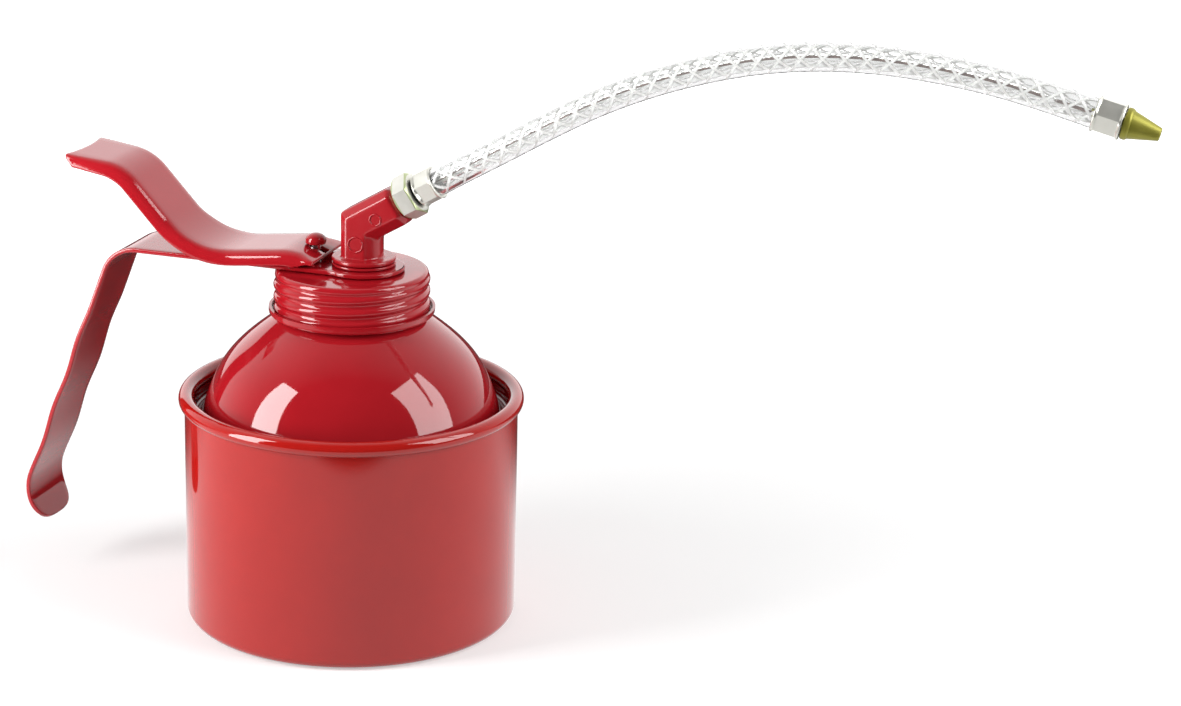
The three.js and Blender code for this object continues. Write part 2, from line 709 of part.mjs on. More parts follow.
// Plunger: rod with its domed head, piston, leather cup and nut
const headBottom = heightAt(leverTop, rodX - HEAD_RADIUS) + GAP; // the nose falls away under the head
const headEdge = headBottom + HEAD_RIM;
const pistonTop = barrelBottom + PISTON_REST;
const pistonBottom = pistonTop - PISTON_HEIGHT;
const cupTop = pistonBottom - GAP;
const cupBottom = cupTop - CUP_HEIGHT;
const cupInside = barrelBore - GAP - CUP_WALL;
const nutTop = cupTop - CUP_WALL - GAP;
const nutBottom = nutTop - NUT_HEIGHT;
const domed = ([r, height]) => [r, headEdge + (height / HEAD_RADIUS) * (HEAD_HEIGHT - HEAD_RIM)];
add(
  "piston_rod",
  steel(),
  solid(
    turned(
      [
        [0, nutBottom - ROD_STUB],
        [ROD_RADIUS, nutBottom - ROD_STUB],
        [ROD_RADIUS, headBottom],
        [HEAD_RADIUS, headBottom],
        ...arc(0, 0, HEAD_RADIUS, 0, 90).slice(0, -1).map(domed),
        [0, headBottom + HEAD_HEIGHT],
      ],
      SMALL_SIDES,
    ),
  ),
  pump,
);
add("piston", brass(), pipe(ROD_RADIUS + GAP, barrelBore - GAP, pistonBottom, pistonTop), pump);
add(
  "piston_cup",
  fibre(),
  solid(
    turned(
      [
        [ROD_RADIUS + GAP, cupTop],
        [barrelBore - GAP, cupTop],
        [barrelBore - GAP, cupBottom],
        [cupInside, cupBottom],
        [cupInside, cupTop - CUP_WALL],
        [ROD_RADIUS + GAP, cupTop - CUP_WALL],
      ],
      ROUND_SIDES,
    ),
  ),
  pump,
);
add(
  "piston_nut",
  steel(),
  cut(
    plate(hexagon((cupInside - GAP) * Math.sqrt(3)), nutBottom, nutTop),
    rod(ROD_RADIUS + GAP, nutBottom - PAST, nutTop + PAST, SMALL_SIDES),
  ),
  pump,
);

// Return spring between the block and the piston: one tube wound on a helix.
const springRadius = (ROD_RADIUS + barrelBore) / 2;
const springBottom = pistonTop + GAP + SPRING_WIRE;
const springTop = chamberTop - GAP - SPRING_WIRE;
class Helix extends THREE.Curve {
  getPoint(t, target = new THREE.Vector3()) {
    const angle = 2 * Math.PI * SPRING_TURNS * t;
    const height = springBottom + (springTop - springBottom) * t;
    return target.set(springRadius * Math.cos(angle), springRadius * Math.sin(angle), height);
  }
}
const springSection = new THREE.Shape(ring(SPRING_WIRE, SPRING_SIDES));
add(
  "return_spring",
  steel(),
  solid(
    new THREE.ExtrudeGeometry(springSection, {
      steps: SPRING_TURNS * SPRING_STEPS,
      extrudePath: new Helix(),
      bevelEnabled: false,
    }),
  ),
  pump,
);
const springGap = (springTop - springBottom) / SPRING_TURNS - 2 * SPRING_WIRE;
console.log("least gap between the return spring's turns, mm:", springGap.toFixed(2));

// Inlet valve on the barrel's end, with its ball and cage
const footSocketBottom = barrelBottom - GAP;
const footTop = footSocketBottom + FOOT_SOCKET;
const seatBottom = footSocketBottom - FOOT_SEAT;
const footBottom = seatBottom - FOOT_SPIGOT;
const spigotBore = SUCTION_RADIUS + GAP;
const ballZ = footSocketBottom + Math.sqrt(BALL_RADIUS ** 2 - SEAT_RADIUS ** 2) + GAP / 2;
const cageRoof = ballZ + BALL_RADIUS + BALL_LIFT + GAP / 2;
const cageBore = BALL_RADIUS + RUN;
add(
  "foot_valve",
  brass(),
  solid(
    turned(
      [
        [spigotBore, footBottom],
        [spigotBore + PUMP_WALL, footBottom],
        [spigotBore + PUMP_WALL, seatBottom],
        [pumpRadius, seatBottom + PUMP_WALL],
        [pumpRadius, footTop],
        [BARREL_RADIUS + GAP, footTop],
        [BARREL_RADIUS + GAP, footSocketBottom],
        [SEAT_RADIUS, footSocketBottom],
        [SEAT_RADIUS, seatBottom],
        [spigotBore, seatBottom],
      ],
      ROUND_SIDES,
    ),
  ),
  pump,
);
const ball = (radius) => solid(new THREE.SphereGeometry(radius, SMALL_SIDES, BALL_SIDES));
add("foot_ball", steel(), moved(ball(BALL_RADIUS), 0, 0, ballZ), pump);

const cageSlot = solid(
  new THREE.BoxGeometry(4 * barrelBore, CAGE_SLOT, cageRoof - footSocketBottom - 2 * CAGE_WALL)
    .translate(0, 0, (cageRoof + footSocketBottom) / 2),
);
add(
  "ball_cage",
  brass(),
  cut(
    solid(
      turned(
        [
          [cageBore, footSocketBottom + GAP],
          [barrelBore - GAP, footSocketBottom + GAP],
          [barrelBore - GAP, cageRoof + CAGE_WALL],
          [SEAT_RADIUS, cageRoof + CAGE_WALL],
          [SEAT_RADIUS, cageRoof],
          [cageBore, cageRoof],
        ],
        ROUND_SIDES,
      ),
    ),
    cageSlot,
  ),
  pump,
);

add(
  "suction_tube",
  steel(),
  pipe(SUCTION_BORE, SUCTION_RADIUS, SUCTION_BOTTOM, seatBottom - GAP, SMALL_SIDES),
  pump,
);

// Strainer cup on the end of the suction tube, with two cross slots under the tube.
const strainerBottom = SUCTION_BOTTOM - STRAINER_WALL - 2 * STRAINER_SLOT;
const strainerRadius = SUCTION_RADIUS + GAP + STRAINER_WALL;
const slots = [0, Math.PI / 2].map((turn) =>
  solid(
    new THREE.BoxGeometry(4 * strainerRadius, STRAINER_SLOT, STRAINER_SLOT)
      .translate(0, 0, strainerBottom + STRAINER_WALL + STRAINER_SLOT)
      .rotateZ(turn),
  ),
);
add(
  "suction_strainer",
  brass(),
  cut(
    solid(
      turned(
        [
          [0, strainerBottom],
          [strainerRadius, strainerBottom],
          [strainerRadius, strainerBottom + STRAINER_HEIGHT],
          [SUCTION_RADIUS + GAP, strainerBottom + STRAINER_HEIGHT],
          [SUCTION_RADIUS + GAP, strainerBottom + STRAINER_WALL],
          [0, strainerBottom + STRAINER_WALL],
        ],
        SMALL_SIDES,
      ),
    ),
    ...slots,
  ),
  pump,
);

// Elbow, clamped on the stud over washer, strip and cap
const washerTop = stripTop + GAP + WASHER_THICKNESS;
const elbowSeat = washerTop + GAP;
const spout = new THREE.Group();
spout.position.set(elbowX, 0, elbowSeat);
pumpHead.add(spout);

const flangeMiddle = FLANGE_THICKNESS / 2;
const along = new THREE.Vector2(Math.cos(rad(SPOUT_ANGLE)), Math.sin(rad(SPOUT_ANGLE)));
const across = new THREE.Vector2(-along.y, along.x);
const armPoint = (distance, side) => [
  along.x * distance + across.x * side,
  SPOUT_RISE + along.y * distance + across.y * side,
];
const armTop = armPoint(SPOUT_LENGTH, SPOUT_ABOVE);
const armLow = armPoint(SPOUT_LENGTH, -SPOUT_BELOW);
const armSlope = along.y / along.x;
const elbowOutline = [
  [-ELBOW_HALF, flangeMiddle],
  [ELBOW_HALF, flangeMiddle],
  [ELBOW_HALF, armLow[1] - (armLow[0] - ELBOW_HALF) * armSlope],
  armLow,
  armTop,
  [-ELBOW_HALF, armTop[1] - (armTop[0] + ELBOW_HALF) * armSlope],
];

// Lays a piece that was built along Z onto the axis of the arm, from a distance along it.
function onArm(manifold, distance) {
  const [x, z] = armPoint(distance, 0);
  const geometry = geometryOf(manifold).rotateY(Math.PI / 2 - rad(SPOUT_ANGLE)).translate(x, 0, z);
  return solid(geometry);
}

const stubHole = STUB_LENGTH + GAP;
add(
  "spout_elbow",
  redPaint(),
  cut(
    join(
      slab(elbowOutline, 2 * ELBOW_HALF, ELBOW_CHAMFER),
      rod(ELBOW_NECK, flangeMiddle, ELBOW_NECK_HEIGHT),
      rod(ELBOW_FLANGE, 0, FLANGE_THICKNESS, CAN_SIDES),
    ),
    rod(STUD_RADIUS + GAP, -PAST, STUD_IN_ELBOW + GAP),
    rod(STUD_BORE, STUD_IN_ELBOW, SPOUT_RISE, SMALL_SIDES),
    onArm(rod(STUD_BORE, 0, SPOUT_LENGTH, SMALL_SIDES), 0),
    onArm(rod(STUB_RADIUS + GAP, 0, stubHole + PAST), SPOUT_LENGTH - stubHole),
  ),
  spout,
);
const washer = pipe(STUD_RADIUS + GAP, ELBOW_FLANGE, -GAP - WASHER_THICKNESS, -GAP, CAN_SIDES);
add("elbow_washer", fibre(), washer, spout);
add("outlet_stud", steel(), pipe(STUD_BORE, STUD_RADIUS, studBottom - elbowSeat, STUD_IN_ELBOW), spout);

// Hose fitting: threaded stub, hexagon, collar and barb in one turned piece
const hexEnd = GAP + HEX_LENGTH;
const collarEnd = hexEnd + COLLAR_LENGTH;
const hoseStart = collarEnd + GAP;
const barbRadius = HOSE_BORE - GAP;
const fittingEnd = hoseStart + BARB_LENGTH;
add(
  "hose_fitting",
  zinc(),
  onArm(
    cut(
      join(
        rod(STUB_RADIUS, -STUB_LENGTH, hexEnd - HEX_LENGTH / 2),
        plate(hexagon(HEX_FLATS), GAP, hexEnd),
        rod(COLLAR_RADIUS, hexEnd - HEX_LENGTH / 2, collarEnd),
        rod(barbRadius, collarEnd - COLLAR_LENGTH / 2, fittingEnd, SMALL_SIDES),
      ),
      rod(FITTING_BORE, -STUB_LENGTH - PAST, fittingEnd + PAST, SMALL_SIDES),
    ),
    SPOUT_LENGTH,
  ),
  spout,
);

// A ferrule: a round sleeve crimped to six flats, chamfered at both ends.
function ferrule(length) {
  const bore = HOSE_RADIUS + GAP;
  const radius = bore + FERRULE_WALL;
  const edge = radius - FERRULE_CHAMFER;
  const sleeve = solid(
    turned(
      [
        [bore, 0],
        [edge, 0],
        [radius, FERRULE_CHAMFER],
        [radius, length - FERRULE_CHAMFER],
        [edge, length],
        [bore, length],
      ],
      ROUND_SIDES,
    ),
  );
  return sleeve.intersect(plate(hexagon(2 * (radius - FERRULE_CRIMP)), -PAST, length + PAST));
}
add("lower_ferrule", zinc(), onArm(ferrule(FERRULE_LENGTH), SPOUT_LENGTH + hoseStart), spout);

// Hose: out of the lower ferrule, over its arch, into the upper ferrule
const nozzleWay = [Math.cos(rad(NOZZLE_ANGLE)), Math.sin(rad(NOZZLE_ANGLE))];
const lastRoute = HOSE_ROUTE[HOSE_ROUTE.length - 1];
const beyond = (distance) => [lastRoute[0] + nozzleWay[0] * distance, lastRoute[1] + nozzleWay[1] * distance];
const hoseEnd = HOSE_LEAD + UPPER_FERRULE_LENGTH;
const hosePath = new THREE.CatmullRomCurve3(
  [
    armPoint(SPOUT_LENGTH + hoseStart, 0),
    armPoint(SPOUT_LENGTH + hoseStart + FERRULE_LENGTH, 0),
    ...HOSE_ROUTE,
    beyond(HOSE_LEAD),
    beyond(hoseEnd),
  ].map(([x, z]) => new THREE.Vector3(x, 0, z)),
);
const hoseSection = new THREE.Shape(ring(HOSE_RADIUS, HOSE_SIDES));
hoseSection.holes.push(new THREE.Path(ring(HOSE_BORE, HOSE_SIDES).reverse()));
add(
  "hose",
  clearHose(),
  solid(
    new THREE.ExtrudeGeometry(hoseSection, {
      steps: HOSE_STEPS,
      extrudePath: hosePath,
      bevelEnabled: false,
    }),
  ),
  spout,
);

// Nozzle and its ferrule, on the far end of the hose
function onNozzle(manifold, distance) {
  const [x, z] = beyond(distance);
  return solid(geometryOf(manifold).rotateY(Math.PI / 2 - rad(NOZZLE_ANGLE)).translate(x, 0, z));
}
add("upper_ferrule", zinc(), onNozzle(ferrule(UPPER_FERRULE_LENGTH), HOSE_LEAD), spout);
add(
  "nozzle",
  chromate(),
  onNozzle(
    solid(
      turned(
        [
          [NOZZLE_BORE, -BARB_LENGTH],
          [barbRadius, -BARB_LENGTH],
          [barbRadius, 0],
          [NOZZLE_BASE, 0],
          ...arc(NOZZLE_BASE - NOZZLE_ROUND, NOZZLE_ROUND, NOZZLE_ROUND, 0, NOZZLE_ROUND_TURN),
          [NOZZLE_TIP, NOZZLE_LENGTH],
          [NOZZLE_BORE, NOZZLE_LENGTH],
        ],
        ROUND_SIDES,
      ),
    ),
    hoseEnd + GAP,
  ),
  spout,
);

export default oilCan;
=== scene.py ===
# %% [markdown]
# # A pump oil can
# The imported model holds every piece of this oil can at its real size: metres, +Z up, the spout towards +X and
# the grip towards -X. This lesson keeps that frame as it is. It swaps the plain solids that show for finer
# pieces in the same places, and gives every piece a finish that is made of nodes.

# %% Load the frame
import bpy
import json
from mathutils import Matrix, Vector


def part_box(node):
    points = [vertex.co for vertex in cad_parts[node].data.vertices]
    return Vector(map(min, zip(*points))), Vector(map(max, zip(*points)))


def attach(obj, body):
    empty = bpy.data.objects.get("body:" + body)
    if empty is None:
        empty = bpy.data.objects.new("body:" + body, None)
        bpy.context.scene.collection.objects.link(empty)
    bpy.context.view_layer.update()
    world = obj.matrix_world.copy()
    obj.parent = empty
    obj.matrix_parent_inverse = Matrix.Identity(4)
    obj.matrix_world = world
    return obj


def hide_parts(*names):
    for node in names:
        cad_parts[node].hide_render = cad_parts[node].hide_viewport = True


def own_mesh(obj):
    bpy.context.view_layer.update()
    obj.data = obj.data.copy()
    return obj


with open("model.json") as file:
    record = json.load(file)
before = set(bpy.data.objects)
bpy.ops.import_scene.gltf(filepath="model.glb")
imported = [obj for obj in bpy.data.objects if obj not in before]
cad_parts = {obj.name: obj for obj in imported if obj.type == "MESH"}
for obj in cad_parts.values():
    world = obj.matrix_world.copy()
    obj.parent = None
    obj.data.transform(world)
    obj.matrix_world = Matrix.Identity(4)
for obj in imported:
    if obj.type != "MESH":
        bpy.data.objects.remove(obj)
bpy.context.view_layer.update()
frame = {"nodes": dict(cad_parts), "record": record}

# %% Tools for the lesson
import json
import math

import bmesh
import bpy
from mathutils import Matrix, Vector
from mathutils.geometry import interpolate_bezier

MM = 0.001


def box_mm(node):
    """Lowest and highest corner of a solid, in millimetres."""
    low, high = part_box(node)
    return low / MM, high / MM


print("can:", box_mm("can_cup"), box_mm("can_dome"))

# %% [markdown]
# ## Camera
# The camera stands where the photographer stood: a little to the right of the can and looking down on it.
# Blender's helpers could frame the object, but a picture has to line up with the photograph, so the camera is
# aimed at one known point on the can's axis and then turned until that point falls on its pixel.

# %% Camera
PHOTO_SIZE = Vector((1181, 706))
SENSOR_MM = 36.0
FOCAL_PIXELS = 3086.3
AIM = Vector((0, 0, 45)) * MM
AIM_PIXEL = Vector((351.8, 462.0))
CAMERA_DISTANCE = 901 * MM
AZIMUTH, ELEVATION = math.radians(22), math.radians(19.672)

towards_camera = Vector((math.sin(AZIMUTH), -math.cos(AZIMUTH), 0))
to_the_right = Vector((math.cos(AZIMUTH), math.sin(AZIMUTH), 0))
back = towards_camera * math.cos(ELEVATION) + Vector((0, 0, math.sin(ELEVATION)))
level = Matrix((to_the_right, back.cross(to_the_right), back)).transposed()
from_centre = AIM_PIXEL - PHOTO_SIZE / 2
ray = Vector((from_centre.x, -from_centre.y, -FOCAL_PIXELS)).normalized()
aside = Vector((0, 0, -1)).rotation_difference(ray).to_matrix()

camera = bpy.data.objects.new("camera", bpy.data.cameras.new("camera"))
camera.data.sensor_width = SENSOR_MM
camera.data.lens = FOCAL_PIXELS * SENSOR_MM / PHOTO_SIZE.x
camera_place = Matrix.Translation(AIM + back * CAMERA_DISTANCE)
camera.matrix_world = camera_place @ (level @ aside.transposed()).to_4x4()
bpy.context.collection.objects.link(camera)
bpy.context.scene.camera = camera
print("camera: lens", round(camera.data.lens, 2), "mm at", camera.matrix_world.translation)

# %% [markdown]
# ## From a bmesh to a piece
# Every piece is drawn in millimetres in a bmesh. One function then merges its doubles, turns its faces out,
# scales it to metres and hangs it on its body, with its place in the mesh and the object at the origin.
# Edges sharper than a given angle stay crisp, and the rest is shaded smooth.

# %% Finish a bmesh as a piece
SAME_POINT = 0.001


def piece(bm, name, body, finishes, stands_for=(), crisp=35):
    bmesh.ops.remove_doubles(bm, verts=bm.verts, dist=SAME_POINT)
    bmesh.ops.recalc_face_normals(bm, faces=bm.faces)
    bmesh.ops.scale(bm, vec=(MM, MM, MM), verts=bm.verts)
    mesh = bpy.data.meshes.new(name)
    bm.to_mesh(mesh)
    bm.free()
    mesh.shade_smooth()
    mesh.set_sharp_from_angle(angle=math.radians(crisp))
    for finish in finishes:
        mesh.materials.append(finish.material)
    made = bpy.data.objects.new(name, mesh)
    bpy.context.collection.objects.link(made)
    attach(made, body)
    if stands_for:
        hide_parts(*stands_for)
    print(name, "has", len(mesh.polygons), "faces and rides on", body)
    return made


print("points closer than", SAME_POINT, "mm are merged")

# %% [markdown]
# ## Node trees as Python expressions
# A finish is a small network of nodes. Drawing it by hand in a script takes many lines, so one class wraps a
# socket and lets Python's operators add the Math nodes, and one method makes any other node: its settings
# come first, because they can change which sockets it has, and then the values or links of its sockets.

# %% A value in a node tree
class Flow:
    """The output of a node, which can be added, multiplied and so on."""

    def __init__(self, nodes, socket):
        self.nodes = nodes
        self.socket = socket

    def maths(self, operation, first, second):
        return self.nodes.node("ShaderNodeMath", {"operation": operation}, {0: first, 1: second})

    def __add__(self, other):
        return self.maths("ADD", self, other)

    def __radd__(self, other):
        return self.maths("ADD", other, self)

    def __sub__(self, other):
        return self.maths("SUBTRACT", self, other)

    def __rsub__(self, other):
        return self.maths("SUBTRACT", other, self)

    def __mul__(self, other):
        return self.maths("MULTIPLY", self, other)

    def __rmul__(self, other):
        return self.maths("MULTIPLY", other, self)


# %% A node tree
class Nodes:
    """A node tree, with one method that makes any node in it."""

    def __init__(self, tree):
        self.tree = tree

    def feed(self, socket, value):
        if isinstance(value, Flow):
            self.tree.links.new(value.socket, socket)
        else:
            socket.default_value = value

    def node(self, kind, settings=None, sockets=None, output=0):
        made = self.tree.nodes.new(kind)
        for name, value in (settings or {}).items():
            setattr(made, name, value)
        for key, value in (sockets or {}).items():
            self.feed(made.inputs[key], value)
        return Flow(self, made.outputs[output])

    def mix(self, factor, first, second):
        sockets = {0: factor, 6: first, 7: second}
        return self.node("ShaderNodeMix", {"data_type": "RGBA"}, sockets, output=2)

    def ramp(self, value, low, high):
        """0 below low, 1 above high and a smooth rise between."""
        sockets = {"Value": value, "From Min": low, "From Max": high}
        return self.node("ShaderNodeMapRange", {"interpolation_type": "SMOOTHSTEP"}, sockets)


# %% A finish
class Finish(Nodes):
    """A material with one Principled shader."""

    def __init__(self, name):
        self.material = bpy.data.materials.new(name)
        self.material.use_nodes = True
        super().__init__(self.material.node_tree)
        self.shader = self.tree.nodes["Principled BSDF"]

    def surface(self, sockets):
        for name, value in sockets.items():
            self.feed(self.shader.inputs[name], value)
        return self

    def place(self):
        return self.node("ShaderNodeTexCoord", output="Object")

    def noise(self, size_mm, detail=2.0):
        """Noise from 0 to 1 with patches of about this size."""
        sockets = {"Vector": self.place(), "Scale": 1 / (size_mm * MM), "Detail": detail}
        return self.node("ShaderNodeTexNoise", sockets=sockets)

    def bump(self, height, depth_mm):
        return self.node("ShaderNodeBump", sockets={"Height": height, "Distance": depth_mm * MM})


def srgb(red, green, blue):
    """A colour as a picture gives it, 0 to 255, in the linear values that shaders take."""
    shares = [value / 255 for value in (red, green, blue)]
    return [s / 12.92 if s <= 0.04045 else ((s + 0.055) / 1.055) ** 2.4 for s in shares] + [1.0]


print("red of the paint, linear:", [round(value, 3) for value in srgb(170, 22, 32)])

# %% [markdown]
# ## Hose: its route
# The hose leaves the ferrule on the spout, rises over a long arch and ends in the nozzle. It is clear PVC
# with a braid of white yarn, stiff enough to hold its arch. Its route repeats the points of the solid model,
# and one smooth curve runs through them, straight where a ferrule grips it.

# %% Hose route
ELBOW_X, ELBOW_SEAT = 3.6, 106.6
SPOUT_RISE = 11.8
SPOUT_ANGLE, NOZZLE_ANGLE = math.radians(31), math.radians(-13.5)
HOSE_START, LOWER_FERRULE = 19.8, 6.1
HOSE_LEAD, UPPER_FERRULE = 2.2, 7.6
HOSE_ROUTE = [
    (30.9, 30.4), (40.5, 36.1), (54.8, 44.7), (69.1, 52.6), (83.4, 59), (97.6, 64), (111.1, 67.6),
    (124.5, 69.9), (138.1, 71), (151.6, 70.9), (165.1, 69.8), (178.5, 67.9), (190.4, 65.4), (201.7, 62.6),
]


def laid_on(start, angle, distance):
    """A frame whose Z runs along a slanting axis in the spout's plane, this far from the axis's start."""
    along = Vector((math.cos(angle), 0, math.sin(angle)))
    turn = Matrix.Rotation(math.pi / 2 - angle, 4, "Y")
    return Matrix.Translation(start + along * distance) @ turn


def on_spout(distance):
    return laid_on(Vector((ELBOW_X, 0, ELBOW_SEAT + SPOUT_RISE)), SPOUT_ANGLE, distance)


def on_nozzle(distance):
    x, z = HOSE_ROUTE[-1]
    return laid_on(Vector((ELBOW_X + x, 0, ELBOW_SEAT + z)), NOZZLE_ANGLE, distance)


route = [on_spout(HOSE_START).translation, on_spout(HOSE_START + LOWER_FERRULE).translation]
route += [Vector((ELBOW_X + x, 0, ELBOW_SEAT + z)) for x, z in HOSE_ROUTE]
route += [on_nozzle(HOSE_LEAD).translation, on_nozzle(HOSE_LEAD + UPPER_FERRULE).translation]
print("hose route:", len(route), "points from", route[0], "to", route[-1])


# %% Points along one smooth curve
def smooth_route(knots, step):
    points = []
    for i, (start, end) in enumerate(zip(knots, knots[1:])):
        reach = (end - start).length / 3
        leave = (end - knots[max(i - 1, 0)]).normalized() * reach
        arrive = (knots[min(i + 2, len(knots) - 1)] - start).normalized() * reach
        count = max(2, round((end - start).length / step) + 1)
        points += interpolate_bezier(start, start + leave, end - arrive, end, count)[:-1]
    return points + [knots[-1]]


HOSE_STEP = 0.8
hose_points = smooth_route(route, HOSE_STEP)
hose_travel = [0.0]
for start, end in zip(hose_points, hose_points[1:]):
    hose_travel.append(hose_travel[-1] + (end - start).length)
print("hose length:", round(hose_travel[-1], 1), "mm in", len(hose_points), "points")

# %% [markdown]
# ## Hose: tube and braid
# A tube could be a curve with a bevel, but this one is see-through, so its bore shows and needs a wall of its
# own. A ring is extruded from frame to frame along the route instead. The braid is eight flat yarns at the
# wall's surface, four each way, that pass over and under each other. Under each yarn lies a wider, greyer
# strip of painted shade, which draws a faint shadow line along both of its edges.

# %% Frames along a line
HOSE_SIDE = Vector((0, 1, 0))


def ahead_at(points, i):
    """The direction in which a line of points runs at one of them."""
    return (points[min(i + 1, len(points) - 1)] - points[max(i - 1, 0)]).normalized()


def frame_at(point, side, ahead):
    """A frame at a point, with X to the side and Z ahead."""
    turn = Matrix((side, ahead.cross(side), ahead)).transposed()
    return Matrix.Translation(point) @ turn.to_4x4()


hose_frames = [frame_at(point, HOSE_SIDE, ahead_at(hose_points, i)) for i, point in enumerate(hose_points)]
print("frames along the hose:", len(hose_frames))


# %% Draw a section along frames
def swept(bm, section, frames):
    """Extrudes a closed section from frame to frame, and gives the edges of its two ends."""
    ring = [bm.verts.new(frames[0] @ Vector((x, y, 0))) for x, y in section]
    first = [bm.edges.new(pair) for pair in zip(ring, ring[1:] + ring[:1])]
    edges = first
    for before, after in zip(frames, frames[1:]):
        made = bmesh.ops.extrude_edge_only(bm, edges=edges)["geom"]
        moved = {item for item in made if isinstance(item, bmesh.types.BMVert)}
        edges = [e for e in made if isinstance(e, bmesh.types.BMEdge) and moved.issuperset(e.verts)]
        bmesh.ops.transform(bm, matrix=after @ before.inverted(), verts=list(moved))
    return first, edges


# %% PVC, white yarn, painted shade and a painted dark reflection
def pvc(name, see_through):
    made = Finish(name)
    return made.surface({
        "Base Color": made.mix(made.noise(5, detail=3), srgb(242, 243, 242), srgb(252, 252, 252)),
        "Roughness": 0.02 + 0.06 * made.noise(6),
        "IOR": 1.3,
        "Transmission Weight": see_through,
    })


def cloth(name, dark, light):
    made = Finish(name)
    return made.surface({
        "Base Color": made.mix(made.noise(0.8, detail=4), dark, light),
        "Roughness": 0.55,
        "Normal": made.bump(made.noise(0.15), 0.02),
    })


clear_pvc = pvc("clear_pvc", see_through=1.0)
hazy_pvc = pvc("hazy_pvc", see_through=0.85)
white_yarn = cloth("white_yarn", srgb(236, 236, 234), srgb(255, 255, 253))
# The wider grey strip under each yarn is painted shade: a faint shadow line along the yarn's edges.
yarn_edge_shade = cloth("yarn_edge_shade", srgb(206, 206, 204), srgb(222, 222, 220))
# A brown-grey streak along the bore, broken into dashes, is a painted dark reflection.
dark_reflection_paint = cloth("dark_reflection_paint", srgb(84, 62, 54), srgb(132, 106, 96))
reflection_dashes = dark_reflection_paint.ramp(dark_reflection_paint.noise(7, detail=3), low=0.3, high=0.42)
dark_reflection_paint.surface({"Roughness": 0.3, "Alpha": reflection_dashes})
print("hose finishes:", [f.material.name for f in (clear_pvc, hazy_pvc, white_yarn, yarn_edge_shade, dark_reflection_paint)])

# %% Hose tube
HOSE_RADIUS, HOSE_BORE = 4.1, 2.1
HOSE_SIDES = 40


def circle(radius, sides):
    turns = [math.tau * i / sides for i in range(sides)]
    return [(radius * math.cos(turn), radius * math.sin(turn)) for turn in turns]


bm = bmesh.new()
bore_ends = swept(bm, circle(HOSE_BORE, HOSE_SIDES), hose_frames)
for face in bm.faces:
    face.material_index = 1
outer_ends = swept(bm, circle(HOSE_RADIUS, HOSE_SIDES), hose_frames)
for outer_end, bore_end in zip(outer_ends, bore_ends):
    bmesh.ops.bridge_loops(bm, edges=outer_end + bore_end)
hose = piece(bm, "hose_tube", "pump_head", [hazy_pvc, clear_pvc], ["hose"])

# %% Yarns
YARNS_EACH_WAY = 4
YARN_LEAD = 24.0
YARN_WIDTH, YARN_THICKNESS = 0.6, 0.16
SHADE_STRIP_WIDTH, SHADE_STRIP_THICKNESS = 0.9, 0.05
BRAID_RADIUS, BRAID_WAVE = 4.02, 0.06


def yarn_frames(number, way, radius):
    """Frames along one yarn: X across its width, Y away from the bore and Z along it."""
    first_turn = math.tau * number / YARNS_EACH_WAY
    centres, outward = [], []
    for at, travel in zip(hose_frames, hose_travel):
        wound = math.tau * travel / YARN_LEAD
        turn = first_turn + way * wound
        over = way * math.cos(YARNS_EACH_WAY * wound + 2 * way * first_turn + number * math.pi)
        away = Vector((math.cos(turn), math.sin(turn), 0))
        centres.append(at @ (away * (radius + BRAID_WAVE * over)))
        outward.append(at.to_3x3() @ away)
    frames = []
    for i, (centre, away) in enumerate(zip(centres, outward)):
        ahead = ahead_at(centres, i)
        frames.append(frame_at(centre, away.cross(ahead).normalized(), ahead))
    return frames


print("a yarn goes round once in", YARN_LEAD, "mm")


# %% Braid
def ribbon(width, thickness, frames, finish=0):
    """A flat strip with closed ends, swept along frames."""
    bm = bmesh.new()
    half, thin = width / 2, thickness / 2
    for end in swept(bm, [(-half, -thin), (half, -thin), (half, thin), (-half, thin)], frames):
        bmesh.ops.holes_fill(bm, edges=end)
    for face in bm.faces:
        face.material_index = finish
    return bm


def joined(forms):
    """Several forms as one bmesh."""
    mesh = bpy.data.meshes.new("joined")
    for form in forms:
        form.from_mesh(mesh)
        form.to_mesh(mesh)
        form.free()
    bm = bmesh.new()
    bm.from_mesh(mesh)
    bpy.data.meshes.remove(mesh)
    return bm


strips = []
for way in (1, -1):
    for number in range(YARNS_EACH_WAY):
        strips.append(ribbon(YARN_WIDTH, YARN_THICKNESS, yarn_frames(number, way, BRAID_RADIUS)))
        # Under each yarn goes a wider grey strip of painted shade along its edges.
        under = yarn_frames(number, way, BRAID_RADIUS - YARN_THICKNESS)
        strips.append(ribbon(SHADE_STRIP_WIDTH, SHADE_STRIP_THICKNESS, under, finish=1))
braid = piece(joined(strips), "hose_braid", "pump_head", [white_yarn, yarn_edge_shade],
              crisp=60)

# %% A painted dark reflection along the bore
STREAK_TURN, STREAK_RADIUS = math.radians(172), 1.95
STREAK_WIDTH, STREAK_THICKNESS, STREAK_SPREAD = 0.45, 0.1, 1.4

# The painted dark reflection lies on the bore's side towards the camera and widens towards the nozzle.
streak_frames = []
lay = Matrix.Rotation(STREAK_TURN, 4, "Z") @ Matrix.Translation((STREAK_RADIUS, 0, 0))
lay = lay @ Matrix.Rotation(-math.pi / 2, 4, "Z")
for at, travel in zip(hose_frames, hose_travel):
    spread = 1 + STREAK_SPREAD * travel / hose_travel[-1]
    streak_frames.append(at @ lay @ Matrix.Diagonal((spread, 1, 1, 1)))
bm = ribbon(STREAK_WIDTH, STREAK_THICKNESS, streak_frames)
painted_reflection_streak = piece(bm, "painted_reflection_streak", "pump_head", [dark_reflection_paint])

# %% [markdown]
# ## Turned pieces
# The can, its dome, the cap, the rod and the ferrules are round, so each is an outline that is spun once
# about its axis. An outline lists only the points that matter, and arcs give the round stretches. Pressed
# sheet is drawn on its outer side, and the same line set in by the sheet's thickness gives the other side.

